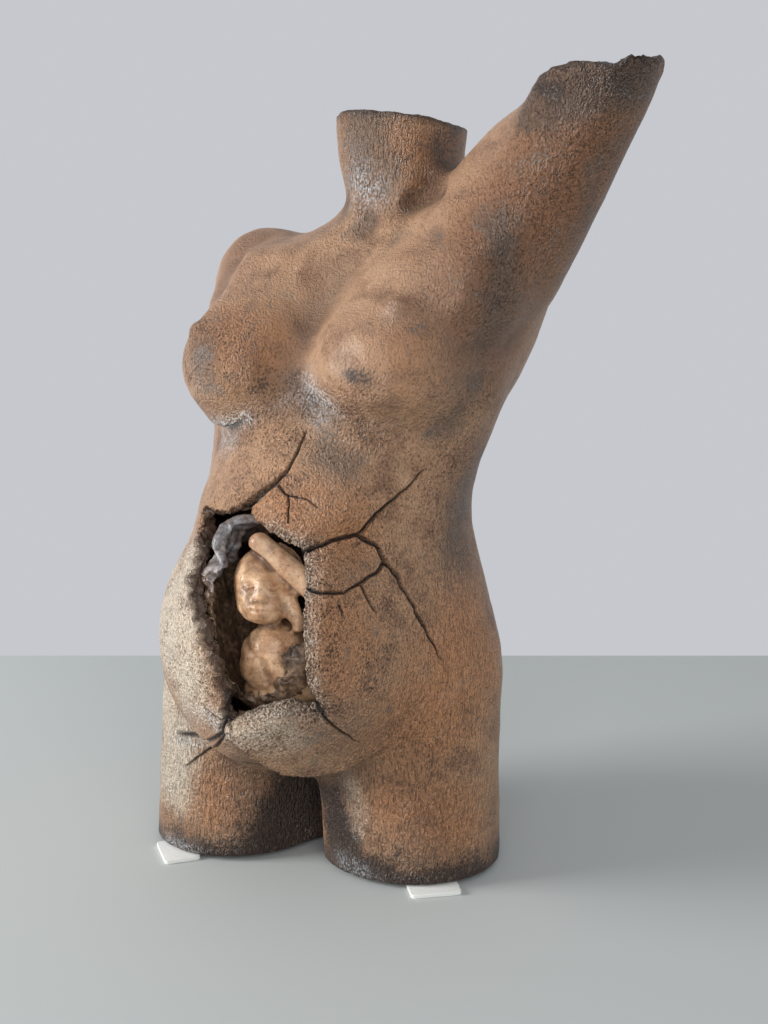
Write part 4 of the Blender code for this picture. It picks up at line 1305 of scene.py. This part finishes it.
def make_baby():
    """The curled baby as one smooth form with a calm, sleeping face."""
    shape = gather({solid: (0, 0, 0) for solid in ("baby_head", "baby_trunk")})
    bmesh.ops.subdivide_edges(shape, edges=shape.edges, cuts=2, use_grid_fill=True)
    for point in shape.verts:
        across, up, depth = board_of(np.array((point.co,)) - FIGURE)[0]
        over = up - np.interp(across, *np.array(CROWN_EDGE).T)
        back = CROWN_STEP * nearness(-over, CROWN_FADE) ** 2 * ramp(depth, *CROWN_DEPTH)
        point.co -= Vector(BOARD_OUT * back)
    for limb in LIMBS.values():
        add_limb(shape, *limb)
    baby = fuse("curled_baby", shape, BABY_SEAM, BABY_GRAIN)
    add_modifier(baby, "SMOOTH", factor=0.5, iterations=BABY_SMOOTHING)
    apply_modifiers(baby)
    for longest in FACE_NETS:
        refine(baby, face_gap, FAR_AWAY, longest)
    places = places_of(baby)
    facings = facings_of(baby)
    across, up, depth = board_of(places).T
    low = ramp(up, *BABY_LAP)
    rise = face_height(places) + layered(unevenness, places, *BABY_MARKS) + BABY_LAP_RISE * low
    for line, wide, high in BABY_FOLDS:
        rise += high * ramp(depth, *BABY_FRONT) * bell(along_line(on_board(places), line)[0], wide)
    wider = (across - BABY_MIDDLE) * BABY_LAP_WIDER * low
    set_places(baby, places + facings * rise[:, None] + np.outer(wider, BOARD_RIGHT))
    arm = to_board(np.array(LIMBS["raised_arm"])[:, :3])
    smoke = np.clip(1.6 - along_line(places, arm)[0] / ARM_SMOKE, 0, 1)
    # The folds' depth gives them painted shade.
    keep_values(baby, recess=0.95 * recesses(baby, *BABY_FOLD), smoke=0.55 * smoke)
    return baby


def make_pad(solid):
    """One felt pad with a soft edge."""
    shape = gather({solid: (0, 0, 0)})
    bmesh.ops.dissolve_limit(shape, angle_limit=math.radians(1), verts=shape.verts, edges=shape.edges)
    sharp = [edge for edge in shape.edges if edge.calc_face_angle(0) > math.radians(40)]
    bmesh.ops.bevel(shape, geom=sharp, offset=PAD_EDGE, affect="EDGES", segments=3, profile=0.5, material=-1)
    return new_piece(solid.replace("pad", "felt_pad"), shape)


def hip_height(middles):
    """Which faces lie between the thighs' and the ribs' joints."""
    return (middles[:, 2] <= RIB_JOINT) & (middles[:, 2] > THIGH_JOINT)


def thigh_height(middles):
    """Which faces lie under the thighs' joints."""
    return middles[:, 2] <= THIGH_JOINT


# The parts that the clay skin is divided into: which faces belong to each, and the solids that it replaces.
CLAY_PARTS = {
    "clay_chest": lambda middles: middles[:, 2] > RIB_JOINT,
    "clay_belly": lambda middles: hip_height(middles) & (middles @ BOARD_OUT > FRONT_DEPTH),
    "clay_hips": lambda middles: hip_height(middles) & (middles @ BOARD_OUT <= FRONT_DEPTH),
    "clay_right_thigh": lambda middles: thigh_height(middles) & (middles[:, 0] < 0),
    "clay_left_thigh": lambda middles: thigh_height(middles) & (middles[:, 0] >= 0),
}
CLAY_SOLIDS = {
    "clay_chest": ("chest_shell", "neck_collar", "raised_arm", "shoulder_cap"),
    "clay_belly": tuple(SLABS),
    "clay_hips": ("hip_shell",),
    "clay_right_thigh": ("right_thigh",),
    "clay_left_thigh": ("left_thigh",),
}

clay = scraped_stoneware()
for part in split(make_body(), CLAY_PARTS):
    finish_piece(part, clay, CLAY_SOLIDS[part.name])
sac_clay = burnished_clay(
    "smoked_sac_clay", light="846A54", dark="523F30", stain_and_fold_shade="231A15", smoked="6A6C72", roughness=0.38,
    mottling=0.80)
finish_piece(make_sac(), sac_clay, ("inner_sac",))
baby_clay = burnished_clay(
    "burnished_cream_clay", light="DDB690", dark="A07250", stain_and_fold_shade="5B3F2D", smoked="A8917B", roughness=0.36,
    mottling=0.12)
finish_piece(make_baby(), baby_clay, BABY_SOLIDS)
felt = white_felt()
for solid in PAD_SOLIDS:
    finish_piece(make_pad(solid), felt, (solid,))


def add_softbox(name, place, size, power):
    """A large soft lamp aimed at the figure's belly."""
    lamp = bpy.data.lights.new(name, "AREA")
    lamp.shape = "SQUARE"
    lamp.size = size
    lamp.energy = power
    box = bpy.data.objects.new(name, lamp)
    box.location = place
    box.rotation_euler = (LAMP_AIM - Vector(place)).to_track_quat("-Z", "Y").to_euler()
    bpy.context.scene.collection.objects.link(box)


def backdrop_rays(node):
    """One for the rays that show the backdrop: straight to the eye, in a gloss or through glass."""
    path = node("LightPath", {}).node.outputs
    seen = path["Is Camera Ray"]
    for other in ("Is Glossy Ray", "Is Transmission Ray"):
        seen = node("Math", {0: seen, 1: path[other]}, operation="MAXIMUM")
    return seen


def add_camera():
    """The eye that sees the figure as the photograph does."""
    eye = bpy.data.cameras.new("eye")
    eye.lens = LENS
    eye.sensor_width = SENSOR
    camera = bpy.data.objects.new("eye", eye)
    camera.location = FIGURE - VIEW_AHEAD * VIEW_BACK + VIEW_RIGHT * VIEW_SIDE + UP * VIEW_HEIGHT
    look = Vector(VIEW_AHEAD * math.cos(VIEW_TILT) - UP * math.sin(VIEW_TILT))
    camera.rotation_euler = look.to_track_quat("-Z", "Y").to_euler()
    bpy.context.scene.collection.objects.link(camera)
    bpy.context.scene.camera = camera


def light_room():
    """A pale, even room: it lights the figure softly and shows the wall's colour."""
    world = bpy.data.worlds.new("studio")
    world.use_nodes = True
    bpy.context.scene.world = world
    node = partial(add_node, world.node_tree)
    light = node("Background", {"Color": colour("E4E8EE"), "Strength": 0.46})
    wall = node("Background", {"Color": colour(WALL), "Strength": 1.0})
    both = node("MixShader", {0: backdrop_rays(node), 1: light, 2: wall})
    fill(world.node_tree.nodes["World Output"], {"Surface": both})


def pale_table():
    """A painted table, dull and pale. Past the wall's foot it shows the wall's colour."""
    material, shader, node = new_material("pale_table")
    fill(shader, {"Base Color": colour("C1C5C3"), "Roughness": 0.7})
    where = node("TexCoord", {}, "Object")
    back = node("VectorMath", {0: where, 1: tuple(VIEW_AHEAD)}, "Value", operation="DOT_PRODUCT")
    foot = float(FIGURE @ VIEW_AHEAD) + WALL_BACK
    far = node("MapRange", {"Value": back, 1: foot - WALL_FOOT, 2: foot + WALL_FOOT})
    far = node("Math", {0: far, 1: backdrop_rays(node)}, operation="MULTIPLY")
    wall = node("Emission", {"Color": colour(WALL)})
    both = node("MixShader", {0: far, 1: shader.outputs[0], 2: wall})
    fill(material.node_tree.nodes["Material Output"], {"Surface": both})
    return material


add_camera()
for name, (side, away, height, size, power) in SOFTBOXES.items():
    add_softbox(name, VIEW_RIGHT * side + VIEW_AHEAD * away + UP * height, size, power)
light_room()
sheet = bmesh.new()
bmesh.ops.create_grid(sheet, x_segments=1, y_segments=1, size=TABLE_SIZE)
table = new_piece("table", sheet)
table.data.materials.append(pale_table())

bpy.context.scene.view_settings.view_transform = "Standard"
